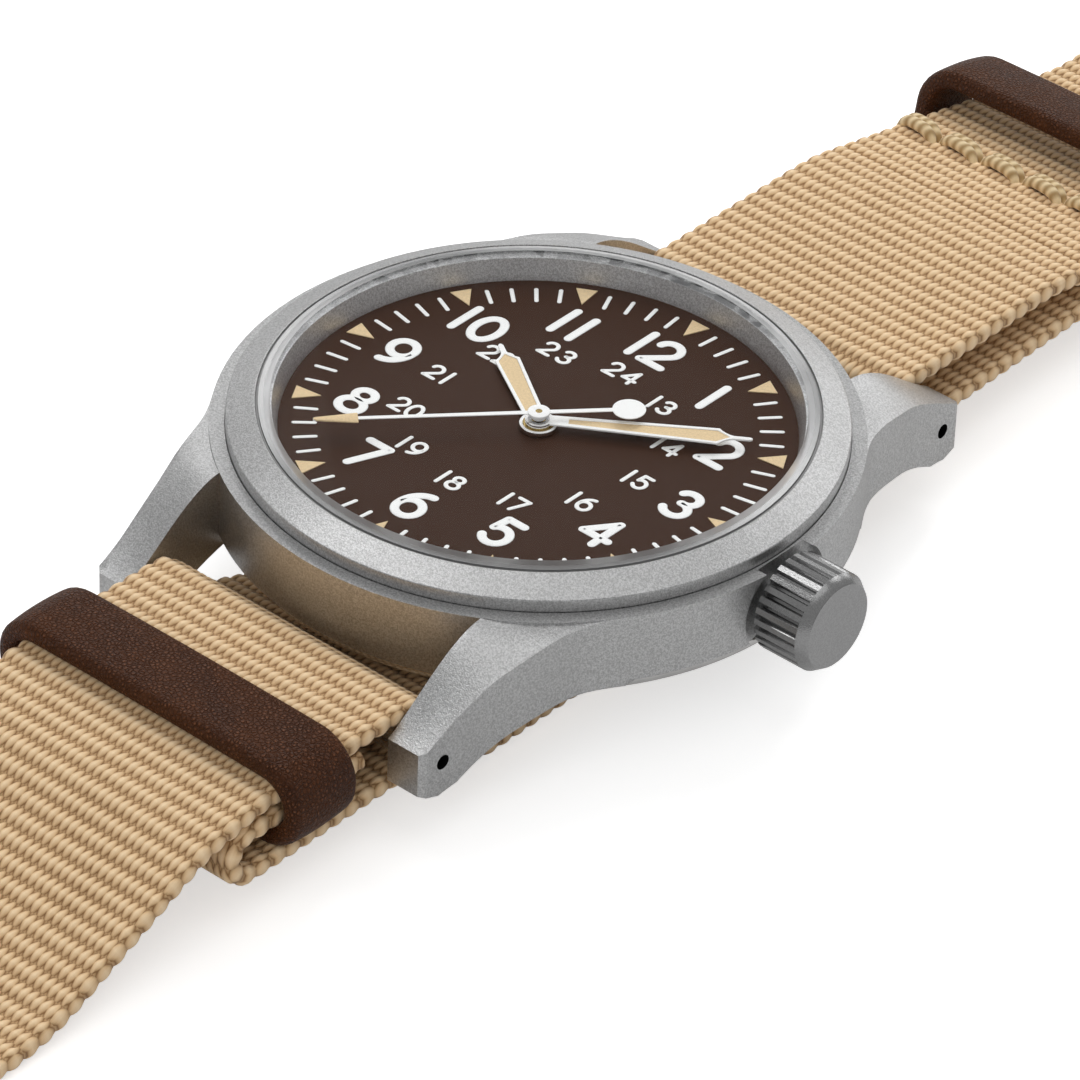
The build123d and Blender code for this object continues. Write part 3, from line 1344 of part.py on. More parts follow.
# Spring bars
def both_ends(solid):
    return Compound(children=[solid, mirror(solid, about=Plane.XZ)])


bar_tube = rod_x(bar_radius, -bar_tube_half, bar_tube_half, bar_axis_y, bar_z)
bar_tube -= rod_x(bar_bore, -case_radius, case_radius, bar_axis_y, bar_z)
pieces["spring_bar_tubes"] = both_ends(bar_tube)
bar_spring = rod_x(bar_spring_radius, -bar_spring_half, bar_spring_half, bar_axis_y, bar_z)
bar_spring -= rod_x(bar_spring_radius - bar_spring_wall, -case_radius, case_radius, bar_axis_y, bar_z)
pieces["spring_bar_springs"] = both_ends(bar_spring)
for hour_name, y_way in (("12", 1), ("6", -1)):
    for side_name, x_way in (("crown_side", 1), ("far_side", -1)):
        tip = rod_x(bar_tip_radius, bar_tip_start_x, bar_nose_start_x, y_way * bar_axis_y, bar_z)
        tip += rod_x(bar_nose_radius, bar_nose_start_x, bar_nose_end_x, y_way * bar_axis_y, bar_z)
        if x_way < 0:
            tip = mirror(tip, about=Plane.YZ)
        pieces[f"spring_bar_tip_{hour_name}_{side_name}"] = tip

# Strap: one long band and the strip beneath it
half_strap = strap_thickness / 2
layer_step = strap_thickness + strap_layer_gap
main_floor_z = layer_step + half_strap
hump_radius = bar_radius + strap_bar_gap + half_strap
hump_y = bar_axis_y - hump_radius
hump_z = bar_z + hump_radius
slot_z = hump_z - strap_slot_drop
loop_radius = buckle_bar_radius + loop_gap + half_strap
bar_centre_z = half_strap + loop_radius
loop_top_z = bar_centre_z + loop_radius
loop_end_y = buckle_bar_y + loop_radius
slope_run = strap_slope_run
slope_fall = hump_z - main_floor_z
slope_length = hypot(slope_run, slope_fall)
slope = (slope_run / slope_length, -slope_fall / slope_length)


def on_slope(y, offset):
    """A point on the buckle side's slope, moved square to it."""
    start = (strap_hump_end_y, hump_z)
    distance = (y - strap_hump_end_y) / slope[0]
    return along(along(start, slope, distance), left_of(slope), offset)


def make_main_strap():
    return_floor = strap_floor_y - layer_step / 2 * slope_fall / slope_run
    points = [on_slope(return_end_y, -layer_step), (return_floor, half_strap), (loop_end_y, half_strap),
              (loop_end_y, loop_top_z), (buckle_bar_y - loop_rise_run, loop_top_z),
              (strap_rise_y, main_floor_z),
              (strap_floor_y, main_floor_z), (strap_hump_end_y, hump_z), (hump_y, hump_z), (hump_y, slot_z),
              (strap_under_half, main_floor_z), (-strap_under_half, main_floor_z), (-hump_y, slot_z),
              (-hump_y, hump_z), (-tail_shoulder_y, hump_z), (-tail_knee_y, hump_z - tail_knee_drop),
              (-tail_floor_y, half_strap), (-tail_end_y, half_strap)]
    radii = [gentle_radius, loop_radius, loop_radius, gentle_radius, gentle_radius, gentle_radius,
             gentle_radius,
             hump_radius, slot_bend_radius, under_bend_radius, under_bend_radius, slot_bend_radius,
             hump_radius,
             knee_radius, knee_radius, gentle_radius]
    strap = ribbon(points, radii, strap_thickness, strap_width)
    strap -= block(-tongue_slot_width / 2, tongue_slot_width / 2, loop_end_y - tongue_slot_length / 2,
                   loop_end_y + cut_overrun, -cut_overrun, loop_top_z + strap_thickness)
    for number in range(tail_holes):
        y = tail_first_hole_y + number * tail_hole_pitch
        strap -= disc(tail_hole_radius, -cut_overrun, strap_thickness + cut_overrun, 0, -y)
    tip_start = tail_end_y - tail_tip_length
    half = strap_width / 2
    angles = [90 * step / tail_tip_steps for step in range(tail_tip_steps + 1)]
    curve = [(half * cos(radians(angle)),
              -tip_start - tail_tip_length * sin(radians(angle))) for angle in angles]
    corner = curve + [(0, -tail_end_y - cut_overrun), (strap_width, -tail_end_y - cut_overrun),
                      (strap_width, -tip_start)]
    for side in (-1, 1):
        strap -= plan([(side * x, y) for x, y in corner], -cut_overrun, strap_thickness + cut_overrun)
    return strap


fold_radius = (leather_thickness + 2 * keeper_gap + strap_thickness) / 2
fold_top_z = hump_z - strap_thickness - 2 * keeper_gap
fold_bottom_z = fold_top_z - 2 * fold_radius


def make_lower_strap():
    points = [(lower_start_y, lower_rise_z), (lower_run_y, lower_run_z), (lower_rise_y, lower_rise_z),
              (lower_flat_half, half_strap), (-lower_flat_half, half_strap), (-lower_knee_y, fold_bottom_z),
              (-lower_fold_y - fold_radius, fold_bottom_z), (-lower_fold_y - fold_radius, fold_top_z),
              (-lower_end_y, fold_top_z)]
    radii = [gentle_radius, knee_radius, knee_radius, knee_radius, knee_radius, fold_radius, fold_radius]
    return ribbon(points, radii, strap_thickness, strap_width)


def leather_loop(inner_low, inner_high):
    """A closed leather band round the strap, at the origin's Y."""
    inner_half = strap_width / 2 + keeper_side_gap
    middle = (inner_low + inner_high) / 2
    inner_height = inner_high - inner_low
    outer = RectangleRounded(2 * (inner_half + leather_thickness), inner_height + 2 * leather_thickness,
                             keeper_corner)
    inner = RectangleRounded(2 * inner_half, inner_height, keeper_inner_corner)
    band = Plane(origin=(0, 0, middle), x_dir=(1, 0, 0), z_dir=(0, -1, 0)) * (outer - inner)
    return extrude(band, amount=keeper_length / 2, both=True)


pieces["main_strap"] = make_main_strap()
pieces["lower_strap"] = make_lower_strap()
fixed_low = fold_bottom_z + half_strap + keeper_gap + leather_thickness
fixed_high = hump_z + half_strap + keeper_gap
pieces["fixed_keeper"] = Pos(0, -fixed_keeper_y, 0) * leather_loop(fixed_low, fixed_high)
keeper_tilt = -degrees(atan2(slope_fall, slope_run))
sliding_low = -layer_step - half_strap - keeper_gap
sliding_high = half_strap + sliding_keeper_room
sliding_centre = on_slope(sliding_keeper_y, 0)
pieces["sliding_keeper"] = Pos(0, sliding_centre[0],
                               sliding_centre[1]) * Rot(keeper_tilt, 0, 0) * leather_loop(
    sliding_low, sliding_high)

stitch_span = strap_width / stitch_count
stitch_length = stitch_span * stitch_share
stitches = []
for number in range(stitch_count):
    middle = (number + half_share) * stitch_span - strap_width / 2
    seat = on_slope(stitch_row_y, half_strap + stitch_radius)
    stitches.append(rod_x(stitch_radius, middle - stitch_length / 2, middle + stitch_length / 2, seat[0],
                          seat[1]))
pieces["strap_stitches"] = Compound(children=stitches)

# Buckle
rail_half = buckle_rail_height / 2
rail_start = buckle_bar_y - buckle_heel
rail_outline = [(rail_start, bar_centre_z - rail_half), (rail_start, bar_centre_z + rail_half),
                (buckle_bar_y + buckle_heel, bar_centre_z + rail_half),
                (buckle_front_y, buckle_rail_height),
                (buckle_front_y, 0), (buckle_bar_y + buckle_heel, bar_centre_z - rail_half)]
rail_face = make_face(Polyline(*[Vector(buckle_inner_half, y, z) for y, z in rail_outline], close=True))
rail = extrude(rail_face, amount=buckle_rail_width, dir=(1, 0, 0))
buckle_outer_half = buckle_inner_half + buckle_rail_width
front = block(-buckle_outer_half, buckle_outer_half, buckle_front_y, buckle_front_y + buckle_front_length,
              0,
              buckle_rail_height)
frame = rail + mirror(rail, about=Plane.YZ) + front
pieces["buckle_frame"] = frame - rod_x(
    buckle_bar_radius + seat_gap, -strap_width, strap_width, buckle_bar_y, bar_centre_z)
pieces["buckle_bar"] = rod_x(buckle_bar_radius, -buckle_outer_half, buckle_outer_half, buckle_bar_y,
                             bar_centre_z)
curl_radius = buckle_bar_radius + running_gap + tongue_curl_wall
tongue = rod_x(curl_radius, -tongue_width / 2, tongue_width / 2, buckle_bar_y, bar_centre_z)
tongue_low = buckle_rail_height + running_gap
tongue_end_y = buckle_front_y + buckle_front_length
tongue += block(
    -tongue_width / 2, tongue_width / 2, buckle_bar_y, tongue_end_y, tongue_low,
    tongue_low + tongue_thickness)
pieces["buckle_tongue"] = tongue - rod_x(buckle_bar_radius + running_gap, -strap_width, strap_width,
                                         buckle_bar_y,
                                         bar_centre_z)

# Files
os.makedirs("parts", exist_ok=True)
for name, solid in pieces.items():
    export_step(solid, f"parts/{name}.step")
    print(name, len(solid.solids()), round(solid.volume, 3))
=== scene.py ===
import json
import math
from math import cos, sin, radians, pi, hypot
import bpy
import numpy as np
from mathutils import Matrix, Vector

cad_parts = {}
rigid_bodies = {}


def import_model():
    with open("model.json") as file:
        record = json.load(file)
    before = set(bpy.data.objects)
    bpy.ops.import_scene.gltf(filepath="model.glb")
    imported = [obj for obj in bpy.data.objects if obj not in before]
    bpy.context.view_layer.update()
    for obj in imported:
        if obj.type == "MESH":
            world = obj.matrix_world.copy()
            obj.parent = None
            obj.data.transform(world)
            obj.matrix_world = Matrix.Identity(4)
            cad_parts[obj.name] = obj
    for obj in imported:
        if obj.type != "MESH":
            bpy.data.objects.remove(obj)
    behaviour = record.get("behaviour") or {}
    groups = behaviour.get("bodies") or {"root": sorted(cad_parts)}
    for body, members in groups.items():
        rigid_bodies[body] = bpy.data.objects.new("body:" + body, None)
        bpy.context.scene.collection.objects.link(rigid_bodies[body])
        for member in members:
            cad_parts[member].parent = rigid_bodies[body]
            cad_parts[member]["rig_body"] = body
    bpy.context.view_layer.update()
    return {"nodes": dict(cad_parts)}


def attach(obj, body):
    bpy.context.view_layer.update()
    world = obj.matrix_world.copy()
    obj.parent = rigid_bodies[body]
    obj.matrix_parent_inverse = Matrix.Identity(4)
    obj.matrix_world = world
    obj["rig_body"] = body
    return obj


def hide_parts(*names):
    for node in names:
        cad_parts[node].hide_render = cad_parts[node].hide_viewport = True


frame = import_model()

MM = 0.001
nodes = frame["nodes"]
glass_radius = max(vertex.co.x for vertex in nodes["crystal"].data.vertices) / MM

# Levels and sizes shared with the solids, in millimetres
DIAL_Z = 9.72
BAR_Y = 22.0
BAR_Z = 5.25
BAR_RADIUS = 0.9
# How far round each spring bar the mid-case's lug hole faces get painted shade
LUG_HOLE_SHADE_REACH = 0.55
BUCKLE_BAR_Y = 84.0
BUCKLE_BAR_RADIUS = 0.75
STRAP_WIDTH = 19.8
STRAP_THICK = 1.35
GLASS_BEVEL_RADIUS = glass_radius - 0.7
GLASS_RIM_RADIUS = glass_radius - 0.3

# The weave: rib spacing, yarn spacing, and how far and how pointed each yarn floats
RIB_PITCH = 1.2
YARN_PITCH = 0.53
YARN_SLANT = 0.25
FLOAT_REACH = 0.68
FLOAT_SHAPE = 1.45
FLOAT_WIDTH = 0.9
FLOAT_ROUND = 0.6

# The glass: refractive index, tint, ground edge and the share that reflects
GLASS_INDEX = 1.77
GLASS_TINT = (0.985, 0.992, 1, 1)
BEVEL_BLUR = 0.3
RIM_SHARE = 0.75
BEVEL_SHARE = 0.4
FACE_SHARE = 0.008


# Shader maths
class Wire:
    """A node output that takes part in arithmetic."""

    def __init__(self, finish, socket):
        self.finish = finish
        self.socket = socket

    def __add__(self, other):
        return self.finish.math("ADD", self, other)

    def __sub__(self, other):
        return self.finish.math("SUBTRACT", self, other)

    def __rsub__(self, other):
        return self.finish.math("SUBTRACT", other, self)

    def __mul__(self, other):
        return self.finish.math("MULTIPLY", self, other)

    def __pow__(self, other):
        return self.finish.math("POWER", self, other)


class Finish:
    """One material and the nodes that make it."""

    def __init__(self, name, **constants):
        self.material = bpy.data.materials.new(name)
        self.material.use_nodes = True
        self.tree = self.material.node_tree
        self.shader = self.tree.nodes["Principled BSDF"]
        self.output = self.tree.nodes["Material Output"]
        self.plain = Wire(self, self.shader.outputs[0])
        for socket, value in constants.items():
            self.shader.inputs[socket.replace("_", " ")].default_value = value

    def node(self, kind, settings=None, inputs=None, output=0):
        made = self.tree.nodes.new(kind)
        for key, value in (settings or {}).items():
            if key == "stops":
                ramp = made.color_ramp
                while len(ramp.elements) < len(value):
                    ramp.elements.new(0.5)
                for element, (place, colour) in zip(ramp.elements, value):
                    element.position = place
                    element.color = (*colour[:3], 1.0)
            else:
                setattr(made, key, value)
        for key, value in (inputs or {}).items():
            socket = made.inputs[key]
            if isinstance(value, Wire):
                self.tree.links.new(value.socket, socket)
            else:
                socket.default_value = value
        return Wire(self, made.outputs[output])

    def math(self, operation, *terms):
        return self.node("ShaderNodeMath", {"operation": operation}, dict(enumerate(terms)))

    def place(self, stretch=(1, 1, 1), turn=(0, 0, 0)):
        """Object coordinates through a mapping."""
        coordinate = self.node("ShaderNodeTexCoord", output="Object")
        return self.node("ShaderNodeMapping", inputs={"Vector": coordinate, "Scale": stretch, "Rotation": turn})

    def noise(self, vector, scale, detail=2.0, roughness=0.5):
        return self.node("ShaderNodeTexNoise", inputs={"Vector": vector, "Scale": scale, "Detail": detail,
                                                       "Roughness": roughness}, output="Fac")

    def ramp(self, factor, stops):
        return self.node("ShaderNodeValToRGB", {"stops": stops}, {"Fac": factor}, output="Color")

    def span(self, factor, low, high, out_low, out_high):
        return self.node("ShaderNodeMapRange", {"clamp": True}, {
            "Value": factor, "From Min": low, "From Max": high, "To Min": out_low, "To Max": out_high})

    def mix(self, factor, first, second):
        return self.node("ShaderNodeMix", {"data_type": "RGBA"}, {0: factor, 6: first, 7: second}, output=2)

    def bump(self, height, strength, distance):
        return self.node("ShaderNodeBump", inputs={"Height": height, "Strength": strength, "Distance": distance},
                         output="Normal")

    def feed(self, **wires):
        for socket, wire in wires.items():
            self.tree.links.new(wire.socket, self.shader.inputs[socket.replace("_", " ")])
        return self.material

    def ray(self, kind):
        return self.node("ShaderNodeLightPath", output=f"Is {kind} Ray")

    def blend(self, factor, first, second):
        return self.node("ShaderNodeMixShader", inputs={0: factor, 1: first, 2: second})

    def surface(self, wire):
        self.tree.links.new(wire.socket, self.output.inputs["Surface"])
        return self.material


def rgb(red, green, blue):
    """A colour read from eight-bit display values."""
    linear = [((v / 255 + 0.055) / 1.055) ** 2.4 if v > 10 else v / 255 / 12.92 for v in (red, green, blue)]
    return (*linear, 1.0)


# Finishes
def blasted_steel(name, tone, rough, grain=1.0):
    """Bead-blasted steel: two sizes of fine grain in tone and bump."""
    finish = Finish(name, Metallic=1.0)
    place = finish.place()
    fine = finish.noise(place, 7000, 1, 0.6)
    dust = finish.noise(place, 14000, 1, 0.6)
    cloud = finish.noise(place, 260, 3)
    mottle = fine * 0.55 + dust * 0.45
    spread = 0.2 * grain
    base = finish.ramp(mottle, [(0.38, [tone * (1 - spread)] * 3), (0.62, [min(1, tone * (1 + spread))] * 3)])
    return finish.feed(Base_Color=base, Roughness=finish.span(cloud, 0.3, 0.7, rough - 0.03, rough + 0.03),
                       Normal=finish.bump(mottle, 0.45 * grain, 0.00005))


def polished_metal(name, colour, rough, brushed=0.0):
    """Smooth metal with faint streaks."""
    finish = Finish(name, Metallic=1.0)
    place = finish.place(stretch=(1, 1, 12))
    streak = finish.noise(place, 3000, 2)
    cloud = finish.noise(finish.place(), 700, 3)
    light = tuple(min(1, c * 1.06) for c in colour)
    dark = tuple(c * 0.92 for c in colour)
    return finish.feed(Base_Color=finish.ramp(cloud, [(0.3, dark), (0.7, light)]),
                       Roughness=finish.span(streak, 0.3, 0.7, rough * 0.8, rough * 1.3),
                       Normal=finish.bump(streak, 0.05 + brushed, 0.00002))


def painted(name, colour, rough, speckle=0.06, depth=0.00001, scale=5000, coat=0.0, gloss=0.5):
    """Paint, print, lume or moulding with a fine speckle."""
    finish = Finish(name, Coat_Weight=coat, Specular_IOR_Level=gloss)
    fine = finish.noise(finish.place(), scale, 3)
    light = tuple(min(1, c * (1 + speckle)) for c in colour[:3])
    dark = tuple(c * (1 - speckle) for c in colour[:3])
    return finish.feed(Base_Color=finish.ramp(fine, [(0.35, dark), (0.65, light)]),
                       Roughness=finish.span(fine, 0.3, 0.7, rough - 0.05, rough + 0.05),
                       Normal=finish.bump(fine, 0.15, depth))


def clear_glass(name):
    """Sapphire: true refraction under a thin reflection, with a ground rim that looks grey."""
    finish = Finish(name, Metallic=1.0, Base_Color=(0.5, 0.5, 0.5, 1))
    place = finish.place()
    smudge = finish.noise(place, 900, 3)
    centre = finish.node("ShaderNodeVectorMath", {"operation": "MULTIPLY"}, {0: place, 1: (1, 1, 0)})
    radius = finish.node("ShaderNodeVectorMath", {"operation": "LENGTH"}, {0: centre}, output="Value")
    rim = finish.math("GREATER_THAN", radius, GLASS_RIM_RADIUS * MM)
    bevel = finish.math("GREATER_THAN", radius, GLASS_BEVEL_RADIUS * MM)
    finish.feed(Roughness=finish.span(smudge, 0.45, 0.8, 0.0, 0.03) + bevel * 0.22)
    bent = [finish.node("ShaderNodeBsdfRefraction", inputs={"Color": GLASS_TINT, "Roughness": blur, "IOR": GLASS_INDEX})
            for blur in (0.0, BEVEL_BLUR)]
    share = finish.math("MAXIMUM", rim * RIM_SHARE, finish.math("MAXIMUM", bevel * BEVEL_SHARE, FACE_SHARE))
    inside = finish.blend(share, finish.blend(bevel, *bent), finish.plain)
    clear = finish.node("ShaderNodeBsdfTransparent")
    bounce = finish.ray("Glossy") * (1.0 - finish.ray("Transmission"))
    open_way = finish.math("MAXIMUM", finish.ray("Shadow"), finish.math("MAXIMUM", finish.ray("Diffuse"), bounce))
    return finish.surface(finish.blend(open_way, inside, clear))


def leather(name):
    """Pebbled brown hide, with painted highlight on the pebble tops and painted shade in the creases between the
    pebbles.
    """
    finish = Finish(name, Specular_IOR_Level=0.17)
    place = finish.place()
    pebble, bead = (finish.node("ShaderNodeTexVoronoi", {"feature": feature}, {
        "Vector": place, "Scale": 3800.0, "Randomness": 1.0}, output="Distance")
        for feature in ("DISTANCE_TO_EDGE", "F1"))
    crease = finish.span(pebble, 0.0, 0.22, 0.0, 1.0)
    cloud = finish.noise(place, 500, 4, 0.6)
    fine = finish.noise(place, 8000, 3, 0.6)
    base = finish.ramp(cloud, [(0.25, rgb(64, 34, 16)), (0.55, rgb(76, 42, 20)), (0.85, rgb(90, 52, 27))])
    # Painted shade: the creases between the pebbles are darkened
    crease_shade = finish.mix(finish.span(pebble, 0.0, 0.08, 0.1, 0.0), base, rgb(30, 17, 11))
    # Painted highlight: the middle of each pebble is lightened
    tops = finish.mix(finish.span(bead, 0.1, 0.3, 0.55, 0.0), crease_shade, rgb(128, 84, 58))
    specks = finish.mix(finish.span(fine, 0.6, 0.7, 0.0, 0.3), tops, rgb(140, 100, 78))
    height = crease * 0.6 + fine * 0.3 + cloud * 0.2
    return finish.feed(Base_Color=specks, Roughness=finish.span(cloud, 0.3, 0.7, 0.36, 0.5),
                       Normal=finish.bump(height, 0.9, 0.00018))


def webbing(name):
    """Rep weave: warp yarns float over one rib and dive under the next, half a step apart; the colour is painted
    lighter on the floats and rib crests and darker in the grooves, as painted highlight and painted shade.
    """
    finish = Finish(name, Sheen_Weight=0.15, Sheen_Roughness=0.5, Specular_IOR_Level=0.3)
    weave = finish.node("ShaderNodeUVMap", {"uv_map": "weave"}, output="UV")
    run = finish.node("ShaderNodeSeparateXYZ", inputs={"Vector": weave}, output="X")
    across = finish.node("ShaderNodeSeparateXYZ", inputs={"Vector": weave}, output="Y")
    rib = run * (1 / RIB_PITCH)
    along = finish.math("FRACT", rib)
    number = finish.math("FLOOR", rib)
    reach = finish.math("ABSOLUTE", along - 0.5)
    slant = across * (1 / YARN_PITCH) + along * YARN_SLANT
    lifts = []
    for shift, away in ((0.0, reach), (0.5, 1.0 - reach)):
        yarn = slant + number * 0.5 + shift
        off = finish.math("FRACT", yarn) * 2.0 - 1.0
        stretch = (away * (1 / FLOAT_REACH)) ** FLOAT_SHAPE
        level = 1.0 - finish.math("ABSOLUTE", off) ** FLOAT_SHAPE * FLOAT_WIDTH - stretch
        lifts.append(finish.math("MAXIMUM", level, 0.0) ** FLOAT_ROUND)
    lift = finish.math("MAXIMUM", *lifts)
    ridge = 1.0 - reach * 2.0
    fibres = finish.node("ShaderNodeMapping", inputs={"Vector": weave, "Scale": (1.2, 14.0, 1.0)})
    strands = finish.noise(fibres, 1.6, 3, 0.65)
    cloud = finish.noise(finish.node("ShaderNodeMapping", inputs={"Vector": weave, "Scale": (0.25, 0.5, 1.0)}), 1.0, 3)
    # Painted highlight and shade: floats and rib crests are lighter and the grooves darker; the strands and cloud give
    # the yarn's own tone
    tone = lift * 0.66 + ridge * 0.2 + strands * 0.26 + cloud * 0.14 - 0.06
    base = finish.ramp(tone, [(0.0, rgb(84, 58, 32)), (0.3, rgb(160, 122, 80)),
                              (0.62, rgb(224, 189, 144)), (1.0, rgb(248, 220, 180))])
    return finish.feed(Base_Color=base, Roughness=finish.span(strands, 0.3, 0.7, 0.55, 0.8),
                       Normal=finish.bump(lift + strands * 0.3, 0.6, 0.0001))


def twisted_thread(name):
    """Sewing thread with slanting plies."""
    finish = Finish(name, Sheen_Weight=0.2)
    place = finish.place(stretch=(1, 0.6, 1), turn=(0, 0, 0.7))
    twist = finish.node("ShaderNodeTexWave", {"wave_type": "BANDS", "bands_direction": "X"}, {
        "Vector": place, "Scale": 620.0, "Distortion": 3.0, "Detail": 3.0}, output="Fac")
    base = finish.ramp(twist, [(0.0, rgb(168, 138, 92)), (1.0, rgb(232, 209, 166))])
    return finish.feed(Base_Color=base, Roughness=finish.span(twist, 0, 1, 0.75, 0.55),
                       Normal=finish.bump(twist, 0.35, 0.00006))


def floor_white(name):
    """White to the camera, mid grey to the metal that mirrors it."""
    finish = Finish(name, Roughness=0.9, Base_Color=(0.82, 0.82, 0.82, 1), Specular_IOR_Level=0.1)
    glow, lift = (finish.node("ShaderNodeEmission", inputs={"Color": (1, 1, 1, 1), "Strength": strength})
                  for strength in (0.58, 0.18))
    bright = finish.node("ShaderNodeAddShader", inputs={0: finish.plain, 1: glow})
    grey = finish.node("ShaderNodeBsdfDiffuse", inputs={"Color": (0.45, 0.45, 0.45, 1)})
    dim = finish.node("ShaderNodeAddShader", inputs={0: grey, 1: lift})
    others = finish.blend(finish.ray("Glossy"), finish.plain, dim)
    return finish.surface(finish.blend(finish.ray("Camera"), others, bright))


case_steel = blasted_steel("blasted_steel", 0.57, 0.4)
crown_steel = blasted_steel("satin_crown_steel", 0.38, 0.24, 0.4)
inner_steel = blasted_steel("inner_ring_steel", 0.78, 0.42)
back_steel = polished_metal("polished_back_steel", (0.66, 0.65, 0.64), 0.16)
dial_brown = painted("dial_lacquer", rgb(62, 40, 28), 0.42, 0.05, 0.000008, 9000, gloss=0.12)
print_white = painted("printed_white", rgb(253, 253, 250), 0.55, 0.02)
hand_white = painted("hand_white", rgb(254, 253, 250), 0.35, 0.02)
lume_cream = painted("aged_lume", rgb(230, 204, 162), 0.7, 0.06, 0.00003, 7000, gloss=0.2)
gasket_grey = painted("gasket_nylon", rgb(128, 128, 128), 0.5)
# Near-black painted shade for the spring bar tips and the insides of the lug holes, which lie in shade
painted_shade_black = painted("painted_shade_in_holes", rgb(11, 11, 11), 0.8, gloss=0.0)
hub_steel = polished_metal("polished_hub", (0.8, 0.79, 0.78), 0.12)
turned_steel = polished_metal("turned_steel", (0.6, 0.6, 0.6), 0.25, 0.1)
nickel = polished_metal("nickel_plate", (0.66, 0.63, 0.57), 0.28, 0.15)
gilt = polished_metal("gilt_brass", (0.8, 0.6, 0.26), 0.22, 0.1)
ring_dark = painted("moulded_ring", rgb(60, 60, 60), 0.5)
rubber = painted("gasket_rubber", rgb(28, 28, 28), 0.7)
ruby = painted("ruby_jewel", rgb(170, 20, 50), 0.1, 0.1, coat=1.0)
glass = clear_glass("sapphire_glass")
hide = leather("brown_leather")
cloth = webbing("ribbed_webbing")
thread = twisted_thread("seam_thread")


def dress(material, *names):
    """Give CAD nodes a material."""
    for name in names:
        mesh = nodes[name].data
        mesh.materials.clear()
        mesh.materials.append(material)


dress(dial_brown, "dial")
dress(inner_steel, "rehaut_ring")
dress(lume_cream, "hour_markers", "hour_hand_lume", "minute_hand_lume", "seconds_hand_lume")
dress(gasket_grey, "crystal_gasket")
dress(rubber, "case_back_gasket", "crown_seal")
dress(ring_dark, "movement_ring")
dress(nickel, "main_plate", "barrel_bridge", "train_bridge", "balance_cock", "barrel", "barrel_cover")
# The spring bar tips sit deep in the lug holes and are painted near black, as painted shade
dress(painted_shade_black, "spring_bar_tip_12_crown_side", "spring_bar_tip_12_far_side", "spring_bar_tip_6_crown_side",
      "spring_bar_tip_6_far_side")
dress(turned_steel, "crown_tube", "winding_stem", "spring_bar_tubes", "spring_bar_springs", "bridge_screws",
      "barrel_arbor", "ratchet_wheel", "crown_wheel", "click", "winding_pinion", "sliding_pinion", "mainspring",
      "hairspring", "cannon_pinion", "setting_wheel", "pallet_fork", "escape_wheel")
dress(gilt, "centre_wheel", "third_wheel", "fourth_wheel", "balance_wheel", "minute_wheel", "hour_wheel")
dress(ruby, "jewels")
dress(glass, "crystal")


# Making: the weld distance of the machined copies in millimetres, and the angle that still counts as flat
WELD = 0.002
FLAT = 0.5


def alone(thing):
    """Make one object the selected and active one."""
    bpy.ops.object.select_all(action="DESELECT")
    thing.select_set(True)
    bpy.context.view_layer.objects.active = thing


def settle(thing):
    """Apply an object's placement, so that it stands at the origin unturned."""
    alone(thing)
    bpy.ops.object.transform_apply(location=True, rotation=True, scale=True)


def linked(name, data):
    """A new object in the scene, selected on its own."""
    thing = bpy.data.objects.new(name, data)
    bpy.context.scene.collection.objects.link(thing)
    alone(thing)
    return thing


def built(name, verts, faces):
    """A mesh object from points in metres."""
    mesh = bpy.data.meshes.new(name)
    mesh.from_pydata(verts, [], faces)
    mesh.update()
    return linked(name, mesh)


def outward(thing):
    """Turn every face outwards."""
    alone(thing)
    bpy.ops.object.mode_set(mode="EDIT")
    bpy.ops.mesh.select_all(action="SELECT")
    bpy.ops.mesh.normals_make_consistent(inside=False)
    bpy.ops.object.mode_set(mode="OBJECT")


def round_curve(name, radius, resolution):
    """An empty curve with a round, capped bevel; the radius is in millimetres."""
    curve = bpy.data.curves.new(name, "CURVE")
    curve.dimensions = "3D"
    curve.bevel_depth = radius * MM
    curve.bevel_resolution = resolution
    curve.use_fill_caps = True
    return curve


def as_mesh(curve):
    """The curve's shape as a mesh object."""
    linked(curve.name, curve)
    bpy.ops.object.convert(target="MESH")
    return bpy.context.object


def painted_over(thing, *materials):
    """Leave an object with these materials alone."""
    thing.data.materials.clear()
    for material in materials:
        thing.data.materials.append(material)


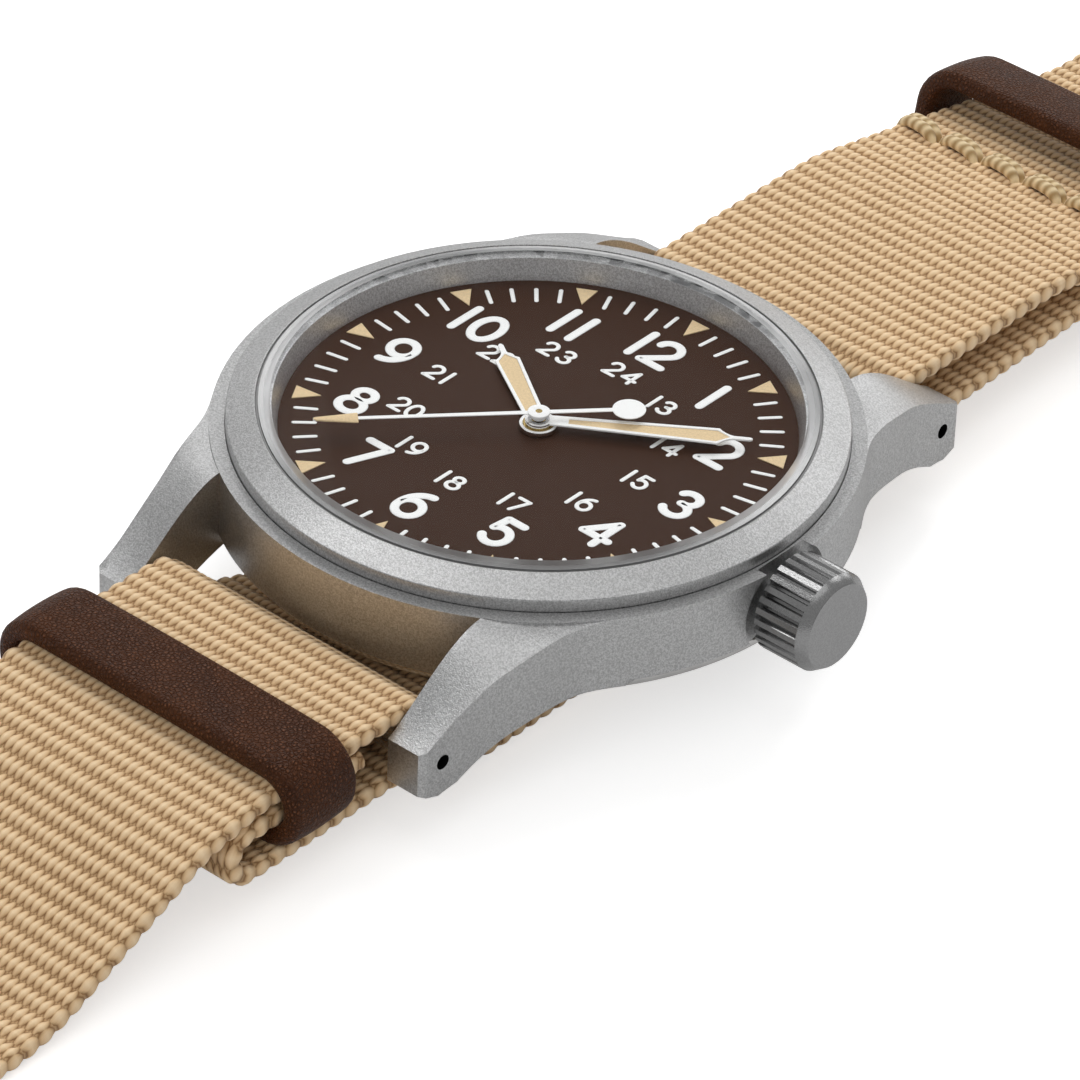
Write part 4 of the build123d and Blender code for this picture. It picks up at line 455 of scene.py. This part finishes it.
def softened(node, width, material, segments=2, angle=25, hub=0.0):
    """A copy of a machined solid with its edges broken, which stands for the node.

    Faces within hub millimetres of the hands' axis are polished, and the mid-case's faces round the lug holes are
    painted near black, as painted shade inside the holes.
    """
    copy = nodes[node].copy()
    copy.data = nodes[node].data.copy()
    copy.name = node + "_finished"
    bpy.context.scene.collection.objects.link(copy)
    copy.parent = None
    alone(copy)
    bpy.ops.object.mode_set(mode="EDIT")
    bpy.ops.mesh.select_all(action="SELECT")
    bpy.ops.mesh.remove_doubles(threshold=WELD * MM)
    bpy.ops.mesh.dissolve_limited(angle_limit=radians(FLAT))
    bpy.ops.object.mode_set(mode="OBJECT")
    bevel = copy.modifiers.new("edges", "BEVEL")
    bevel.width = width * MM
    bevel.segments = segments
    bevel.limit_method = "ANGLE"
    bevel.angle_limit = radians(angle)
    bevel.use_clamp_overlap = True
    bpy.ops.object.modifier_apply(modifier="edges")
    bpy.ops.object.shade_smooth()
    even = copy.modifiers.new("even", "WEIGHTED_NORMAL")
    even.mode = "FACE_AREA"
    even.weight = 100
    bpy.ops.object.modifier_apply(modifier="even")
    painted_over(copy, material, hub_steel, painted_shade_black)
    for face in copy.data.polygons:
        corners = [copy.data.vertices[v].co for v in face.vertices]
        face.material_index = int(max(hypot(*co.xy) for co in corners) < hub * MM)
        from_bar = max(hypot(abs(co.y) - BAR_Y * MM, co.z - BAR_Z * MM) for co in corners)
        # Painted shade: faces inside the lug holes get the near-black material
        if node == "mid_case" and from_bar < LUG_HOLE_SHADE_REACH * MM:
            face.material_index = 2
    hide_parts(node)
    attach(copy, nodes[node]["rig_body"])


softened("mid_case", 0.12, case_steel, 3)
softened("bezel", 0.07, case_steel, 3)
softened("case_back", 0.06, back_steel)
softened("crown", 0.05, crown_steel, 2, 20)
softened("buckle_frame", 0.3, case_steel, 4)
softened("buckle_tongue", 0.15, case_steel, 3)
softened("buckle_bar", 0.1, turned_steel)
softened("hour_hand", 0.02, hand_white, hub=1.25)
softened("minute_hand", 0.02, hand_white, hub=0.84)
softened("seconds_hand", 0.015, hand_white)


# The arrow: half widths along the hand, then each layer's height and the share of the width that it keeps
ARROW = [(10.45, 0.43), (10.5, 0.47), (11.4, 0.36), (12.8, 0.16), (12.98, 0.1), (13.04, 0.0)]
ARROW_LAYERS = [(-0.1, 1.0), (-0.04, 1.0), (0.0, 0.82)]
ARROW_RISE = 0.02


def arrow_lume():
    """The wide lume point that covers the outer end of the seconds hand."""
    cad = nodes["seconds_hand_lume"].data.vertices
    heading = Vector((sum(v.co.x for v in cad), sum(v.co.y for v in cad), 0)).normalized()
    aside = Vector((-heading.y, heading.x, 0))
    top = max(v.co.z for v in cad) + ARROW_RISE * MM
    outline = ARROW + [(along, -wide) for along, wide in reversed(ARROW[:-1])]
    verts = []
    for height, grow in ARROW_LAYERS:
        for along, wide in outline:
            place = heading * along * MM + aside * wide * grow * MM
            verts.append((place.x, place.y, top + height * MM))
    size = len(outline)
    faces = [tuple(range(size))[::-1], tuple(range(2 * size, 3 * size))]
    for ring in (0, size):
        faces += [(ring + i, ring + (i + 1) % size, ring + size + (i + 1) % size, ring + size + i)
                  for i in range(size)]
    thing = built("seconds_arrow_lume", verts, faces)
    outward(thing)
    bpy.ops.object.shade_smooth_by_angle(angle=radians(50))
    painted_over(thing, lume_cream)
    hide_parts("seconds_hand_lume")
    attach(thing, nodes["seconds_hand_lume"]["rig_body"])


arrow_lume()


# Dial print
def arc(x, y, rx, ry, start, stop, steps):
    """Points on part of an ellipse; the angles are in degrees."""
    return [(x + rx * cos(radians(start + (stop - start) * i / steps)),
             y + ry * sin(radians(start + (stop - start) * i / steps))) for i in range(steps + 1)]


# Each numeral's strokes about its middle, and each digit's place on the dial, in millimetres
HALF = 0.79
TOP = 1.24
GLYPHS = {
    "0": [arc(0, 0, HALF, TOP, 90, 450, 32)],
    "1": [[(0, -TOP), (0, TOP)]],
    "2": [arc(-0.02, 0.52, 0.74, 0.72, 168, -38, 16) + [(-0.78, -TOP), (0.78, -TOP)]],
    "3": [arc(-0.05, 0.63, 0.66, 0.57, 155, -97, 16), arc(-0.05, -0.6, 0.76, 0.66, 97, -155, 18)],
    "4": [[(0.42, -TOP), (0.42, TOP), (-0.88, -0.5), (0.92, -0.5)]],
    "5": [[(0.66, TOP), (-0.48, TOP), (-0.62, 0.12)] + arc(-0.03, -0.42, 0.78, 0.82, 122, -150, 18)],
    "6": [arc(0, -0.42, HALF, 0.82, 90, 450, 26), arc(0.62, -0.3, 1.41, 1.56, 178, 97, 10)],
    "7": [[(-0.76, TOP), (0.76, TOP), (-0.28, -TOP)]],
    "8": [arc(0, 0.67, 0.62, 0.55, 90, 450, 22), arc(0, -0.56, HALF, 0.68, 90, 450, 26)],
    "9": [arc(0, 0.42, HALF, 0.82, 90, 450, 26), arc(-0.62, 0.3, 1.41, 1.56, -2, -83, 10)],
}
LARGE = [("1", -1.28, 10.6), ("2", 0.41, 10.6), ("1", 5.33, 9.31), ("2", 9.3, 5.4), ("3", 10.96, 0),
         ("4", 9.32, -5.2), ("5", 5.29, -9.16), ("6", -0.07, -10.62), ("7", -5.34, -8.9), ("8", -9.31, -5.3),
         ("9", -10.94, 0.04), ("1", -10.5, 5.38), ("0", -8.74, 5.38), ("1", -6.11, 9.2), ("1", -4.69, 9.2)]
SMALL = [("1", 3.14, 6.6), ("3", 4.1, 6.6), ("1", 6.0, 3.7), ("4", 7.01, 3.7), ("1", 6.92, 0), ("5", 7.9, 0),
         ("1", 6.04, -3.8), ("6", 6.99, -3.8), ("1", 3.31, -6.55), ("7", 4.26, -6.55), ("1", -0.7, -7.42),
         ("8", 0.26, -7.42), ("1", -4.59, -6.45), ("9", -3.58, -6.45), ("2", -7.3, -3.8), ("0", -6.2, -3.8),
         ("2", -8.04, 0), ("1", -7.05, 0), ("2", -7.1, 3.75), ("2", -6.0, 3.75), ("2", -4.81, 6.42),
         ("3", -3.47, 6.42), ("2", -0.7, 7.5), ("4", 0.58, 7.5)]
LARGE_STROKE = 0.286
SMALL_STROKE = 0.135
SMALL_SIZE = 0.5
SHARP_CORNER = 40
# A stroke's end: how far out, in half widths, and the share of the width there
STROKE_END = [(1.0, 0.05), (0.94, 0.34), (0.75, 0.66), (0.42, 0.91)]
TICK_ENDS = (12.9, 14.1)
PRINT_HEIGHT = 0.03
PRINT_LIFT = 0.004


def at_corners(stroke):
    """The stroke cut where it turns sharply, so that every corner keeps its full width."""
    parts = [[stroke[0]]]
    for before, here, after in zip(stroke, stroke[1:], stroke[2:]):
        parts[-1].append(here)
        turn = (Vector(here) - Vector(before)).angle(Vector(after) - Vector(here))
        if turn > radians(SHARP_CORNER):
            parts.append([here])
    parts[-1].append(stroke[-1])
    return parts


def rounded_stroke(curve, points, half):
    """A stroke drawn as one spline whose ends narrow to a half circle."""
    closed = hypot(points[0][0] - points[-1][0], points[0][1] - points[-1][1]) < 1e-6
    if closed:
        points = points[:-1]
        weights = [1.0] * len(points)
    else:
        start = Vector(points[0]) - Vector(points[1])
        stop = Vector(points[-1]) - Vector(points[-2])
        start.normalize()
        stop.normalize()
        head = [(tuple(Vector(points[0]) + start * half * out), wide) for out, wide in STROKE_END]
        tail = [(tuple(Vector(points[-1]) + stop * half * out), wide) for out, wide in reversed(STROKE_END)]
        joined = head + [(p, 1.0) for p in points] + tail
        points = [p for p, _ in joined]
        weights = [w for _, w in joined]
    spline = curve.splines.new("POLY")
    spline.points.add(len(points) - 1)
    for place, (x, y), weight in zip(spline.points, points, weights):
        place.co = (x * MM, y * MM, 0, 1)
        place.radius = weight
    spline.use_cyclic_u = closed


def numerals(places, size):
    """All the strokes of a ring of numerals."""
    return [[(x + px * size, y + py * size) for px, py in part] for digit, x, y in places
            for stroke in GLYPHS[digit] for part in at_corners(stroke)]


def printed(name, strokes, half, body):
    """Printed marks: strokes bevelled round, made a mesh and pressed flat on the dial."""
    curve = round_curve(name, half, 3)
    for points in strokes:
        rounded_stroke(curve, points, half)
    thing = as_mesh(curve)
    thing.scale = (1, 1, PRINT_HEIGHT / half)
    thing.location = (0, 0, (DIAL_Z + PRINT_LIFT) * MM)
    settle(thing)
    bpy.ops.object.shade_smooth()
    painted_over(thing, print_white)
    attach(thing, body)


printed("hour_numerals", numerals(LARGE, 1), LARGE_STROKE, "case")
printed("inner_numerals", numerals(SMALL, SMALL_SIZE), SMALL_STROKE, "case")
printed("minute_ticks", [[(r * sin(radians(minute * 6)), r * cos(radians(minute * 6))) for r in TICK_ENDS]
                         for minute in range(60) if minute % 5], SMALL_STROKE, "case")


# Straps: arcs are drawn in steps of about this many degrees
ARC_STEP = 4


def walk(points, radii, step):
    """Places and directions along straight runs joined by tangent arcs, evenly spaced."""
    pen = [np.array(points[0], float)]
    for index, radius in enumerate(radii):
        corner = np.array(points[index + 1], float)
        before = corner - np.array(points[index], float)
        after = np.array(points[index + 2], float) - corner
        before /= np.hypot(*before)
        after /= np.hypot(*after)
        turn = math.atan2(before[0] * after[1] - before[1] * after[0], before @ after)
        trim = radius * math.tan(abs(turn) / 2)
        way = 1 if turn > 0 else -1
        entry = corner - before * trim
        centre = entry + np.array([-before[1], before[0]]) * radius * way
        count = max(3, int(abs(turn) / radians(ARC_STEP)))
        for i in range(count + 1):
            angle = turn * i / count
            arm = entry - centre
            pen.append(centre + np.array([arm[0] * cos(angle) - arm[1] * sin(angle),
                                          arm[0] * sin(angle) + arm[1] * cos(angle)]))
    pen.append(np.array(points[-1], float))
    line = np.array(pen)
    lengths = np.r_[0, np.cumsum(np.hypot(*np.diff(line, axis=0).T))]
    count = int(round(lengths[-1] / step))
    s = np.linspace(0, lengths[-1], count + 1)
    y = np.interp(s, lengths, line[:, 0])
    z = np.interp(s, lengths, line[:, 1])
    dy = np.gradient(y)
    dz = np.gradient(z)
    size = np.hypot(dy, dz)
    return s, y, z, dy / size, dz / size


# The woven section: steps along a rib, points over the face and back, how deep the grooves lie and how far ribs and
# floats stand up from them, how the edge narrows in a groove, and how it rounds
STEPS_PER_RIB = 6
COLUMNS_PER_YARN = 4
BACK_COLUMNS = 15
FACE_INSET = 0.45
FACE_GROOVE = 0.37
BACK_GROOVE = 0.45
EDGE_GROOVE = 0.43
FACE_RIB = 0.17
BACK_RIB = 0.22
EDGE_RIB = 0.22
FACE_FLOAT = 0.14
EDGE_WAIST = 0.12
RIB_SHAPE = 0.75
TIP_SHARE = 0.04
EDGE_SHAPE = [(0.30, 0.97), (0.12, 0.72), (0.0, 0.32), (0.0, -0.32), (0.12, -0.72), (0.30, -0.97)]


def float_height(run, across):
    """How high the warp yarns stand: each floats over one rib and dives under the next."""
    rib = run / RIB_PITCH
    number = np.floor(rib)
    along = rib - number
    reach = np.abs(along - 0.5)
    height = 0.0
    for shift, away in ((0.0, reach), (0.5, 1.0 - reach)):
        off = np.mod(across / YARN_PITCH + along * YARN_SLANT + number * 0.5 + shift, 1.0) * 2 - 1
        level = 1 - FLOAT_WIDTH * np.abs(off) ** FLOAT_SHAPE - (away / FLOAT_REACH) ** FLOAT_SHAPE
        height = np.maximum(height, np.maximum(0.0, level) ** FLOAT_ROUND)
    return height


def woven(name, node, points, radii, cut=(0, 1e9), taper=0.0):
    """A ribbed band whose warp yarns rise and sink over the ribs, with scalloped edges."""
    s, y, z, dy, dz = walk(points, radii, RIB_PITCH / STEPS_PER_RIB)
    keep = (s >= cut[0] - 0.01) & (s <= cut[1] + 0.01)
    s, y, z, dy, dz = (values[keep] for values in (s, y, z, dy, dz))
    half = STRAP_WIDTH / 2
    columns = int(round(COLUMNS_PER_YARN * STRAP_WIDTH / YARN_PITCH))
    face = np.linspace(-half + FACE_INSET, half - FACE_INSET, columns)
    back = np.linspace(half - FACE_INSET, -half + FACE_INSET, BACK_COLUMNS)
    edge_in, edge_level = (np.array(values) for values in zip(*EDGE_SHAPE))
    ring_x = np.r_[face, half - edge_in, back, (edge_in - half)[::-1]]
    ring_h = np.r_[np.ones(columns), edge_level, -np.ones(BACK_COLUMNS), edge_level[::-1]]
    amount = np.abs(np.sin(pi * s / RIB_PITCH))[:, None] ** RIB_SHAPE
    front = (ring_h > 0.99)[None, :]
    rear = (ring_h < -0.99)[None, :]
    flank = ~(front | rear)
    floats = float_height(s[:, None], ring_x[None, :])
    depth = np.where(front, FACE_GROOVE + FACE_RIB * amount + FACE_FLOAT * floats, 0)
    depth = np.where(rear, -(BACK_GROOVE + BACK_RIB * amount), depth)
    depth = np.where(flank, ring_h[None, :] * (EDGE_GROOVE + EDGE_RIB * amount), depth)
    across = ring_x[None, :] * np.ones_like(amount)
    across = np.where(flank, across - np.sign(across) * EDGE_WAIST * (1 - amount), across)
    if taper:
        left = np.clip((s[-1] - s) / taper, 0, 1)
        across = across * (np.sqrt(1 - (1 - left) ** 2) * (1 - TIP_SHARE) + TIP_SHARE)[:, None]
    yy = y[:, None] + dz[:, None] * depth
    zz = z[:, None] - dy[:, None] * depth
    verts = np.stack([across, yy, zz], axis=-1).reshape(-1, 3) * MM
    rows, size = depth.shape
    i = np.arange(rows - 1)[:, None] * size
    j = np.arange(size)[None, :]
    k = (j + 1) % size
    faces = np.stack([i + k, i + size + k, i + size + j, i + j], axis=-1).reshape(-1, 4).tolist()
    faces.append(list(range(size))[::-1])
    faces.append(list(range((rows - 1) * size, rows * size)))
    thing = built(name, verts.tolist(), faces)
    mesh = thing.data
    layer = mesh.uv_layers.new(name="weave")
    corners = np.zeros(len(mesh.loops), np.int32)
    mesh.loops.foreach_get("vertex_index", corners)
    uv = np.stack([np.repeat(s, size), np.tile(ring_x, rows)], axis=-1)
    layer.data.foreach_set("uv", uv[corners].reshape(-1).astype(np.float32))
    mesh.shade_smooth()
    painted_over(thing, cloth)
    outward(thing)
    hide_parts(node)
    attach(thing, "case")


# The strap's route, as side views: over the bars, under the case, and round the buckle's bar
LAYER_GAP = 0.1
BAR_GAP = 0.3
FOLD_GAP = 0.2
HALF_STRAP = STRAP_THICK / 2
LAYER = STRAP_THICK + LAYER_GAP
FLOOR_Z = LAYER + HALF_STRAP
HUMP_R = BAR_RADIUS + BAR_GAP + HALF_STRAP
HUMP_Y = BAR_Y - HUMP_R
HUMP_Z = BAR_Z + HUMP_R
SLOT_Z = HUMP_Z - 2.855
LOOP_R = BUCKLE_BAR_RADIUS + LAYER_GAP + HALF_STRAP
LOOP_Z = 2 * LOOP_R + HALF_STRAP
LOOP_Y = BUCKLE_BAR_Y + LOOP_R
SLOPE_TOP = 36.5
SLOPE_FOOT = 61.5
FALL = (HUMP_Z - FLOOR_Z) / (SLOPE_FOOT - SLOPE_TOP)
SLANT = hypot(1, FALL)


def on_slope(y, off):
    """A place on the sloping part at 12, off its middle by some millimetres."""
    return y + off * FALL / SLANT, HUMP_Z - (y - SLOPE_TOP) * FALL + off / SLANT


main_route = [on_slope(48.0, -LAYER), (SLOPE_FOOT - LAYER * FALL / 2, HALF_STRAP), (LOOP_Y, HALF_STRAP),
              (LOOP_Y, LOOP_Z), (80.0, LOOP_Z), (74.0, FLOOR_Z), (SLOPE_FOOT, FLOOR_Z), (SLOPE_TOP, HUMP_Z),
              (HUMP_Y, HUMP_Z), (HUMP_Y, SLOT_Z), (14.2, FLOOR_Z), (-14.2, FLOOR_Z), (-HUMP_Y, SLOT_Z),
              (-HUMP_Y, HUMP_Z), (-33.5, HUMP_Z), (-38.0, HUMP_Z - 0.85), (-50.5, HALF_STRAP), (-172.0, HALF_STRAP)]
main_radii = [14, LOOP_R, LOOP_R, 14, 14, 14, 14, HUMP_R, 1.2, 4, 4, 1.2, HUMP_R, 7, 7, 14]
# The band is cut between ribs, because one piece would have too many faces
s_all, y_all, _, dy_all, _ = walk(main_route, main_radii, 0.25)
under = s_all[(np.abs(y_all) < 0.2) & (dy_all < 0)][0]
under -= under % RIB_PITCH
middle = (under + s_all[-1]) / 2
middle -= middle % RIB_PITCH
BUCKLE_END_RIBS = 72
LOWER_CUT_RIBS = 50
at_buckle = BUCKLE_END_RIBS * RIB_PITCH
woven("strap_buckle_end", "main_strap", main_route, main_radii, (0, at_buckle))
woven("strap_at_12", "main_strap", main_route, main_radii, (at_buckle, under))
woven("strap_at_6", "main_strap", main_route, main_radii, (under, middle))
woven("strap_tail", "main_strap", main_route, main_radii, (middle, 1e9), taper=8.0)
KEEPER_LENGTH = 5.1
KEEPER_THICK = 1.2
KEEPER_CORNER = 2.1
KEEPER_EDGE = 0.5
KEEPER_PLAY = 0.4
KEEPER_STEP = 0.8
KEEPER_CROWN = 0.12
KEEPER_BULGE = 0.16
fold_r = (KEEPER_THICK + FOLD_GAP + STRAP_THICK) / 2
fold_top = HUMP_Z - STRAP_THICK - FOLD_GAP
fold_low = fold_top - 2 * fold_r
lower_route = [(46.8, 3.5), (42.0, 3.95), (23.5, 3.5), (15.5, HALF_STRAP), (-15.5, HALF_STRAP), (-21.5, fold_low),
               (-34.3 - fold_r, fold_low), (-34.3 - fold_r, fold_top), (-25.4, fold_top)]
lower_radii = [14, 7, 7, 7, 7, fold_r, fold_r]
lower_cut = LOWER_CUT_RIBS * RIB_PITCH
woven("lower_strap_at_12", "lower_strap", lower_route, lower_radii, (0, lower_cut))
woven("lower_strap_at_6", "lower_strap", lower_route, lower_radii, (lower_cut, 1e9))


# Leather keepers
def rounded(corners, radius, steps):
    """Points and outward directions round four corners; each is (x, y, first angle), and its arc turns by steps."""
    for x, y, start in corners:
        for i in range(abs(steps) + 1):
            angle = radians(start + 90 * i / steps)
            yield x + radius * cos(angle), y + radius * sin(angle), cos(angle), sin(angle)


def keeper(name, node, low, high, centre_y, centre_z, tilt, body):
    """A leather band bent round the strap: a rounded path swept with a round-edged section."""
    half = STRAP_WIDTH / 2 + KEEPER_PLAY + KEEPER_THICK / 2
    bottom = low - KEEPER_THICK / 2
    top = high + KEEPER_THICK / 2
    corner = min(KEEPER_CORNER, (top - bottom) / 2 - 0.05)
    path = list(rounded([(half - corner, top - corner, 90), (half - corner, bottom + corner, 0),
                         (-half + corner, bottom + corner, -90), (-half + corner, top - corner, -180)], corner, -8))
    dense = []
    for a, b in zip(path, path[1:] + path[:1]):
        count = max(1, int(hypot(b[0] - a[0], b[1] - a[1]) / KEEPER_STEP))
        dense += [[start + (stop - start) * i / count for start, stop in zip(a, b)] for i in range(count)]
    reach = KEEPER_LENGTH / 2 - KEEPER_EDGE
    rise = KEEPER_THICK / 2 - KEEPER_EDGE
    section = [(along, out) for along, out, _, _ in rounded(
        [(reach, rise, 0), (-reach, rise, 90), (-reach, -rise, 180), (reach, -rise, 270)], KEEPER_EDGE, 4)]
    # More points over the outer face, so that it can bulge
    section[5:5] = [(reach * (1 - i / 4), KEEPER_THICK / 2) for i in range(1, 8)]
    verts = []
    for x, z, nx, nz in dense:
        crown = KEEPER_CROWN * max(0.0, 1 - (x / half) ** 2) if z > (top + bottom) / 2 else 0.0
        for along, out in section:
            bulge = out + (KEEPER_BULGE * (1 - (2 * along / KEEPER_LENGTH) ** 2) if out > 0 else 0.0)
            verts.append(((x + nx * bulge) * MM, along * MM, (z + nz * bulge + crown) * MM))
    size = len(section)
    total = len(dense)
    faces = []
    for r in range(total):
        here, there = r * size, (r + 1) % total * size
        faces += [(here + c, here + (c + 1) % size, there + (c + 1) % size, there + c) for c in range(size)]
    thing = built(name, verts, faces)
    thing.rotation_euler = (radians(tilt), 0, 0)
    thing.location = (0, centre_y * MM, centre_z * MM)
    settle(thing)
    outward(thing)
    bpy.ops.object.shade_smooth()
    painted_over(thing, hide)
    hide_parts(node)
    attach(thing, body)


keeper("fixed_leather_keeper", "fixed_keeper", fold_low + HALF_STRAP + 1.3, HUMP_Z + HALF_STRAP + LAYER_GAP, -30.15, 0,
       0, "case")
keeper("sliding_leather_keeper", "sliding_keeper", -LAYER - HALF_STRAP - LAYER_GAP, HALF_STRAP + 1.5,
       *on_slope(51.4, 0), -math.degrees(math.atan(FALL)), "keeper")


# Seam thread: the row's place, each stitch's half length, slant, rise and sunk ends, and its two strands
STITCHES = 6
SEAM_Y = 45.4
STITCH_HALF = 1.5
STITCH_SLANT = 0.22
STITCH_RISE = 0.42
STITCH_SINK = 0.8
STITCH_STEPS = 12
STRAND_OFFSET = 0.3
THREAD_RADIUS = 0.4
THREAD_TAPER = 0.35


def stitches():
    """Slanting stitches of two strands each, sunk at their ends."""
    curve = round_curve("seam_stitches", THREAD_RADIUS, 4)
    span = STRAP_WIDTH / STITCHES
    for number in range(STITCHES):
        middle = (number + 0.5) * span - STRAP_WIDTH / 2
        for strand in (-STRAND_OFFSET, STRAND_OFFSET):
            spline = curve.splines.new("POLY")
            spline.points.add(STITCH_STEPS)
            for i, place in enumerate(spline.points):
                t = i / STITCH_STEPS * 2 - 1
                end = abs(t) ** 4
                y, z = on_slope(SEAM_Y + strand - STITCH_SLANT * t, HALF_STRAP + STITCH_RISE - STITCH_SINK * end)
                place.co = ((middle + t * STITCH_HALF) * MM, y * MM, z * MM, 1)
                place.radius = 1.0 - THREAD_TAPER * end
    thing = as_mesh(curve)
    bpy.ops.object.shade_smooth()
    painted_over(thing, thread)
    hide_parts("strap_stitches")
    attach(thing, "case")


stitches()


# Floor, light and camera; these sizes are in metres
FLOOR_SIZE = 6.0
FLOOR_DROP = 0.00005
# The white surroundings: how bright they light, and how bright the camera sees them
SKY_LIGHT = 0.36
SKY_SEEN = 1.0
bpy.ops.mesh.primitive_plane_add(size=FLOOR_SIZE, location=(0, 0, -FLOOR_DROP))
floor = bpy.context.object
floor.name = "studio_floor"
floor.data.materials.append(floor_white("floor_white"))

world = bpy.data.worlds.new("studio")
bpy.context.scene.world = world
world.use_nodes = True
tree = world.node_tree
background = tree.nodes["Background"]
background.inputs["Color"].default_value = (1, 1, 1, 1)
path = tree.nodes.new("ShaderNodeLightPath")
level = tree.nodes.new("ShaderNodeMapRange")
level.inputs["To Min"].default_value = SKY_LIGHT
level.inputs["To Max"].default_value = SKY_SEEN
tree.links.new(path.outputs["Is Camera Ray"], level.inputs["Value"])
tree.links.new(level.outputs["Result"], background.inputs["Strength"])


def softbox(name, place, size, radiance, mirrored=True):
    """A panel aimed at the watch; its power follows from its area, so that metal mirrors it at a known brightness."""
    data = bpy.data.lights.new(name, "AREA")
    data.shape = "RECTANGLE"
    data.size, data.size_y = size
    data.energy = radiance * pi * size[0] * size[1]
    lamp = bpy.data.objects.new(name, data)
    bpy.context.scene.collection.objects.link(lamp)
    lamp.location = place
    lamp.rotation_euler = (-Vector(place)).to_track_quat("-Z", "Y").to_euler()
    lamp.visible_glossy = mirrored


softbox("overhead_panel", (0.12, 0.0, 0.62), (0.44, 0.5), 0.6)
softbox("left_panel", (-0.3, -0.02, 0.58), (0.22, 0.26), 2.7)
softbox("back_left_panel", (-0.54, 0.34, 0.34), (0.3, 0.3), 1.3)
softbox("upper_back_panel", (0.0, 0.52, 0.48), (0.4, 0.26), 1.5)
softbox("low_back_panel", (-0.25, 0.72, 0.22), (0.7, 0.24), 1.2)
softbox("key_light", (-0.22, 0.4, 0.48), (0.26, 0.26), 6.4, mirrored=False)
softbox("front_fill", (0.15, -0.5, 0.4), (0.4, 0.3), 2.2, mirrored=False)

# The camera was fitted to the dial, the case and the lugs: angles, then distance and shifts in the fit's own unit of
# 13.5 mm from a point on the axis, and the focal length in pixels of the photo
PHOTO_SIZE = 1080
FOCAL_PIXELS = 7340
SENSOR = 36.0
DISTANCE = 31.345
SHIFT_RIGHT = 0.007
SHIFT_DOWN = 0.481
FIT_Z = 10.53
azimuth = radians(40.19)
elevation = radians(36.13)
roll = radians(2.21)
unit = 13.5 * MM
back = Vector((sin(azimuth) * cos(elevation), -cos(azimuth) * cos(elevation), sin(elevation)))
right = Vector((0, 0, 1)).cross(back).normalized()
up = back.cross(right)
view_right = right * cos(roll) + up * sin(roll)
view_up = -right * sin(roll) + up * cos(roll)
eye = (back * DISTANCE + view_right * SHIFT_RIGHT - view_up * SHIFT_DOWN) * unit + Vector((0, 0, FIT_Z * MM))
lens = bpy.data.cameras.new("camera")
lens.sensor_width = SENSOR
lens.lens = FOCAL_PIXELS / PHOTO_SIZE * SENSOR
lens.clip_start = 0.01
lens.clip_end = 20.0
camera = bpy.data.objects.new("camera", lens)
bpy.context.scene.collection.objects.link(camera)
turn = Matrix((view_right, view_up, back)).transposed().to_4x4()
camera.matrix_world = Matrix.Translation(eye) @ turn
bpy.context.scene.camera = camera
bpy.context.scene.view_settings.view_transform = "Standard"
